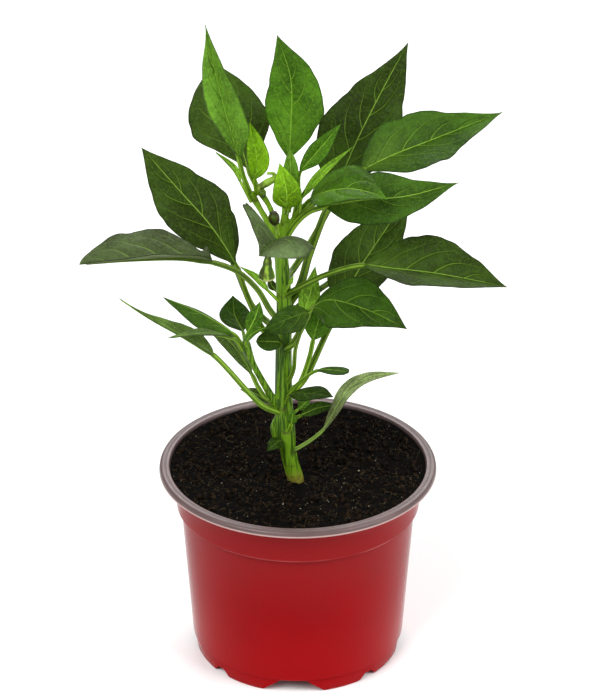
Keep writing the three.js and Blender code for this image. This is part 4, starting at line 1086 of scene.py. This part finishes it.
def leaf_blade(leaf, way, start):
    """The blade with its veins and waves, from the share of the way where the stalk ends."""
    length = way.length * (1 - start)
    widest = np.max(leaf["half"])
    columns = WIDE_COLUMNS if widest > WIDE_HALF else SMALL_COLUMNS
    rows = int(np.clip(length / ROW_LENGTH, *ROW_LIMITS))
    pairs = max(3, round(length / VEIN_SPACING))

    def put(across, row):
        reach = across / columns * 2 - 1
        right, share = reach > 0, np.abs(reach)
        along = (row / rows) ** ROW_SPACING
        at = start + (1 - start) * along
        side, up = leaf_axes(way, at, along, leaf)
        outline = blade_outline(along, leaf, right) * (1 + edge_drift(leaf, along, right, length))
        width = side_of(leaf["half"], right) * outline
        lift = np.radians(side_of(leaf["lift"], right))
        curl = np.radians(side_of(leaf.get("curl", 0), right))
        # A curl of nothing can't be divided by
        curl = np.where(np.abs(curl) < 1e-4, 1e-4, curl)
        out = width * (np.sin(lift + curl * share) - np.sin(lift)) / curl
        rise = width * (np.cos(lift) - np.cos(lift + curl * share)) / curl
        ripple = leaf["wave"] * outline * np.sin(2 * np.pi * length * along / WAVE_LENGTH + len(leaf["name"]))
        rise += ripple * share ** 2 * np.where(right, 1, -1)
        rise += width * BLADE_ARCH * np.sin(np.pi * share)
        turns = pairs * (along - VEIN_LEAN * share - VEIN_CURVE * share ** 2)
        field = np.sin(np.pi * (turns + np.where(right, VEIN_SHIFT, 0))) ** 2
        puckered = min(PUCKER_MOST, widest * PUCKER_SHARE) * np.clip(share * 5, 0, 1) * (1 - share) ** 0.5 * outline
        rise += puckered * (1 - field)
        place = way.at(at) + side * (out * np.where(right, 1, -1))[:, None] + up * rise[:, None]
        return {"place": place, "across": reach, "along": along, "turns": turns, "reach": out * MM}

    return woven(f"{leaf['name']}_blade", columns, rows, put, 2e-6)


def leaf_stalk(leaf, way, start):
    """The stalk, which goes on below the blade as its midrib."""
    steps = max(16, int(way.length / STALK_STEP))
    shares = np.linspace(0, start + (1 - start) * RIB_END, steps + 1)
    along = np.clip((shares - start) / (1 - start), 0, 1)
    root = np.clip(1 - shares / start, 0, 1)
    side, up = leaf_axes(way, shares, along, leaf)
    rib_start = leaf["radius"] * RIB_START
    rib = rib_start + (RIB_TIP_RADIUS - rib_start) * along ** RIB_TAPER
    radius = np.where(along > 0, rib, leaf["radius"] * (1 + (ROOT_SWELLING - 1) * root ** 2))
    # In the first tenth of the blade the midrib sinks until only 0.1 mm of it stands above
    drop = np.clip(along / 0.1, 0, 1) * (rib - 0.1)
    centres = way.at(shares) - up * drop[:, None]
    return tube(f"{leaf['name']}_stalk", centres, radius, side, up, STALK_SIDES, groove=STALK_GROOVE)


def build_leaf(leaf, looks):
    way = Way(leaf["stalk"] + leaf["midrib"])
    start = way.share_of_point(len(leaf["stalk"]) - 1)
    blade = leaf_blade(leaf, way, start)
    stalk = leaf_stalk(leaf, way, start)
    for piece in (blade, stalk):
        give(piece, *(looks[side] for side in LEAF_SIDES))
    modify(blade, "SOLIDIFY", thickness=BLADE_THICKNESS * MM, offset=0, material_offset=1, material_offset_rim=0)
    for face in stalk.data.polygons:
        face.material_index = LEAF_SIDES.index("stalk")
    whole = join(f"{leaf['name']}_full", [blade, stalk])
    smooth(whole, 55)
    settle(whole, looks["slot"], leaf["name"])


def leaf_looks(settings):
    """The upper side, underside and stalk of each colour of leaf."""
    made = {}
    for name, slot in ((name, slot) for slot, names in LEAF_SLOTS.items() for name in names):
        body = getattr(settings, name)
        dull = slot in ("leaf_dark", "leaf_pale")
        glow = 0.15 if dull else 0.32
        deep = [c * s for c, s in zip(body, (0.57 if dull else 0.48, 0.5, 0.5))]
        under = mixed(body, 0.68, settings.underside, 0.32)
        vein = mixed(settings.vein, 0.5, body, 0.9)
        rib = mixed(settings.vein, MIDRIB_SHARE.get(name, USUAL_MIDRIB_SHARE), body, 0.6)
        strength = 0.85 if dull else 1.15
        shade, light = (times(mixed(colour, 0.75, body, 0.35), strength)
                        for colour in (settings.stalk_dark, settings.stalk_light))
        made[name] = {
            "upper": leaf_look(f"leaf_{name}_upper", body, deep, vein, rib, glow),
            "under": leaf_look(f"leaf_{name}_underside", under, times(under, 0.7), vein, rib, glow, True),
            "stalk": stalk_look(f"leaf_{name}_stalk", shade, light),
            "slot": slot,
        }
    return made


def build_leaves(settings):
    looks = leaf_looks(settings)
    for leaf in LEAVES:
        build_leaf(leaf, looks[leaf["colour"]])


def build_buds(settings):
    looks = {
        "bud_hanging": bud_look("bud_hanging_skin", 0.5, settings.stalk, settings.dark, settings.light, settings.rim),
        "bud_round": bud_look("bud_round_skin", 0.7, settings.stalk, settings.dark, settings.brown,
                              times(settings.brown, 0.6)),
        "bud_small": bud_look("bud_small_skin", 0.2, settings.dark, settings.stalk, settings.light, settings.light),
    }
    for name, line in BUDS.items():
        bud = limb(f"{name}_full", line, BUD_SIDES, BUD_STEP, BUD_RIDGES)
        modify(bud, "SUBSURF", levels=1, render_levels=1)
        smooth(bud, 80)
        give(bud, looks[name])
        settle(bud, "leaf_bright", name)


def panel_light(name, place, width, height, power):
    deselect()
    bpy.ops.object.light_add(type="AREA", location=place)
    light = bpy.context.object
    light.name = f"{name}_panel"
    light.data.shape = "RECTANGLE"
    light.data.size = width
    light.data.size_y = height
    light.data.energy = power
    light.rotation_euler = (Vector(PANEL_AIM) - Vector(place)).to_track_quat("-Z", "Y").to_euler()


def build_stage(settings):
    deselect()
    bpy.ops.mesh.primitive_plane_add(size=FLOOR_SIZE, location=(0, 0, FLOOR_HEIGHT))
    floor = named(bpy.context.object, "floor")
    bpy.ops.object.transform_apply(location=True, rotation=True, scale=True)
    look = Look("pale_floor")
    give(floor, look.finish(Base_Color=(*settings.floor, 1), Roughness=0.9, Specular_IOR_Level=0.1))
    world = bpy.data.worlds.new("studio")
    world.use_nodes = True
    background = world.node_tree.nodes["Background"].inputs
    background["Color"].default_value = (*settings.surround, 1)
    background["Strength"].default_value = settings.surround_strength
    bpy.context.scene.world = world
    for name, panel in PANELS.items():
        panel_light(name, *panel, getattr(settings, name))
    deselect()
    place = (VIEW_SIDE, -VIEW_DISTANCE * math.cos(VIEW_PITCH),
             VIEW_TARGET_HEIGHT + VIEW_DISTANCE * math.sin(VIEW_PITCH))
    bpy.ops.object.camera_add(location=place, rotation=(math.pi / 2 - VIEW_PITCH, 0, 0))
    camera = bpy.context.object
    camera.name = "picture_camera"
    camera.data.sensor_fit = "VERTICAL"
    camera.data.sensor_height = SENSOR
    camera.data.lens = VIEW_LENS
    camera.data.clip_start = 0.01
    bpy.context.scene.camera = camera
    bpy.context.scene.view_settings.view_transform = "Standard"


# ---------------------------------------------------------------- settings, operators and panel


class PotSettings(bpy.types.PropertyGroup):
    red: colour_of("Red", "the pot's outside", "860106")
    lip: colour_of("Lip", "the lip and of the inside", "5e4c4b")
    cut_edge: colour_of("Cut edge", "the plastic where the lip is cut", "b4938e")


class SoilSettings(bpy.types.PropertyGroup):
    dark: colour_of("Dark", "wet soil", "060504")
    light: colour_of("Light", "drier soil", "271d13")
    fibre: colour_of("Fibre", "the peat fibres", "4f4732")
    grit: colour_of("Grit", "the small pale stones", "97907f")
    crumbs: IntProperty(name="Crumbs", description="How many small crumbs lie on the soil, with two large for three",
                        default=1600, min=0, max=2500)
    fibres: IntProperty(name="Fibres", description="How many peat fibres lie on the soil", default=600, min=0,
                        max=2000)
    grits: IntProperty(name="Grit", description="How many small stones lie on the soil", default=200, min=0,
                       max=1000)


class StemSettings(bpy.types.PropertyGroup):
    dark: colour_of("Dark stripes", "the stem's dark stripes", "2c4b04")
    light: colour_of("Light stripes", "the stem's light stripes", "618917")
    tip: colour_of("Twigs", "the young twigs at the top", "84b024")
    foot: colour_of("Foot", "the stem where it leaves the soil", "8f8636")


class LeafSettings(bpy.types.PropertyGroup):
    dark: colour_of("Dark", "the full-grown leaves", "30470e")
    dusk: colour_of("Dusk", "the darkest full-grown leaves", "2c420b")
    deep: colour_of("Deep", "the shaded leaves", "294706")
    shade: colour_of("Shade", "the darkest small leaves", "223c04")
    middle: colour_of("Middle", "the full-grown leaves in the light", "335210")
    green: colour_of("Green", "the half-grown leaves", "3c600f")
    fresh: colour_of("Fresh", "the upper leaves", "436c12")
    light: colour_of("Light", "the tall leaf at the left", "568021")
    young: colour_of("Young", "the newest leaves", "68950e")
    lime: colour_of("Lime", "the thinnest leaves", "79a82c")
    # Painted sheen: the drooping leaf and the dull leaf at the left are painted greyer than their own green, for the
    # grey sheen they show
    grey: colour_of("Grey", "the drooping leaf", "50623b")
    dusty: colour_of("Dusty", "the dull leaf at the left", "3c4a28")
    sage: colour_of("Sage", "the side shoot's leaves", "536d2e")
    pale: colour_of("Pale", "the pale curved leaf", "7b8e59")
    vein: colour_of("Veins", "the veins", "84a83c")
    stalk_dark: colour_of("Stalk shade", "the stalks' dark side", "44640b")
    stalk_light: colour_of("Stalk light", "the stalks' light side", "7d9f28")
    underside: colour_of("Underside", "the undersides, mixed with each leaf's own", "7c875c")


class BudSettings(bpy.types.PropertyGroup):
    stalk: colour_of("Stalk", "the buds' stalks", "87ab34")
    dark: colour_of("Dark", "the buds' shaded parts", "3a5410")
    light: colour_of("Light", "the buds' ribs", "84a534")
    brown: colour_of("Brown", "the round bud's ribs", "3c4012")
    rim: colour_of("Rim", "the hanging bud's open end", "a5a672")


class StageSettings(bpy.types.PropertyGroup):
    floor: colour_of("Floor", "the floor", "f7f7f7")
    surround: colour_of("Surround", "the light from all round", "ffffff")
    surround_strength: FloatProperty(name="Surround strength", description="Light from all round", default=0.26, min=0)
    key: FloatProperty(name="Key", description="Power of the front left panel", default=35, min=0, subtype="POWER")
    fill: FloatProperty(name="Fill", description="Power of the right panel", default=24, min=0, subtype="POWER")
    back: FloatProperty(name="Back", description="Power of the rear panel", default=20, min=0, subtype="POWER")


class PLANT_OT_pot(bpy.types.Operator):
    """Build the nursery pot"""
    bl_idname = "plant.pot"
    bl_label = "Pot"

    def execute(self, context):
        build_pot(context.scene.plant_pot)
        return {"FINISHED"}


class PLANT_OT_soil(bpy.types.Operator):
    """Build the soil with its crumbs, fibres and grit"""
    bl_idname = "plant.soil"
    bl_label = "Soil"

    def execute(self, context):
        build_soil(context.scene.plant_soil)
        return {"FINISHED"}


class PLANT_OT_stem(bpy.types.Operator):
    """Build the stem and its twigs"""
    bl_idname = "plant.stem"
    bl_label = "Stem"

    def execute(self, context):
        build_stem(context.scene.plant_stem)
        return {"FINISHED"}


class PLANT_OT_leaves(bpy.types.Operator):
    """Build all the leaves with their stalks"""
    bl_idname = "plant.leaves"
    bl_label = "Leaves"

    def execute(self, context):
        build_leaves(context.scene.plant_leaf)
        return {"FINISHED"}


class PLANT_OT_buds(bpy.types.Operator):
    """Build the flower buds"""
    bl_idname = "plant.buds"
    bl_label = "Buds"

    def execute(self, context):
        build_buds(context.scene.plant_bud)
        return {"FINISHED"}


class PLANT_OT_stage(bpy.types.Operator):
    """Set out the floor, the lights and the camera"""
    bl_idname = "plant.stage"
    bl_label = "Stage"

    def execute(self, context):
        build_stage(context.scene.plant_stage)
        return {"FINISHED"}


class PLANT_PT_panel(bpy.types.Panel):
    """The pieces of the plant, each with its sizes and colours"""
    bl_idname = "PLANT_PT_panel"
    bl_label = "Potted plant"
    bl_space_type = "VIEW_3D"
    bl_region_type = "UI"
    bl_category = "Plant"

    def draw(self, context):
        for part, (group, operator) in PARTS.items():
            box = self.layout.box()
            box.operator(operator.bl_idname)
            settings = getattr(context.scene, f"plant_{part}")
            for name in group.__annotations__:
                box.prop(settings, name)


PARTS = {
    "pot": (PotSettings, PLANT_OT_pot),
    "soil": (SoilSettings, PLANT_OT_soil),
    "stem": (StemSettings, PLANT_OT_stem),
    "leaf": (LeafSettings, PLANT_OT_leaves),
    "bud": (BudSettings, PLANT_OT_buds),
    "stage": (StageSettings, PLANT_OT_stage),
}


def register():
    for part, (group, operator) in PARTS.items():
        bpy.utils.register_class(group)
        bpy.utils.register_class(operator)
        setattr(bpy.types.Scene, f"plant_{part}", PointerProperty(type=group))
    bpy.utils.register_class(PLANT_PT_panel)


def unregister():
    bpy.utils.unregister_class(PLANT_PT_panel)
    for part, (group, operator) in reversed(PARTS.items()):
        delattr(bpy.types.Scene, f"plant_{part}")
        bpy.utils.unregister_class(operator)
        bpy.utils.unregister_class(group)


def main():
    register()
    bpy.ops.plant.stage()
    bpy.ops.plant.pot()
    bpy.ops.plant.soil()
    bpy.ops.plant.stem()
    bpy.ops.plant.leaves()
    bpy.ops.plant.buds()


if __name__ == "__main__":
    main()
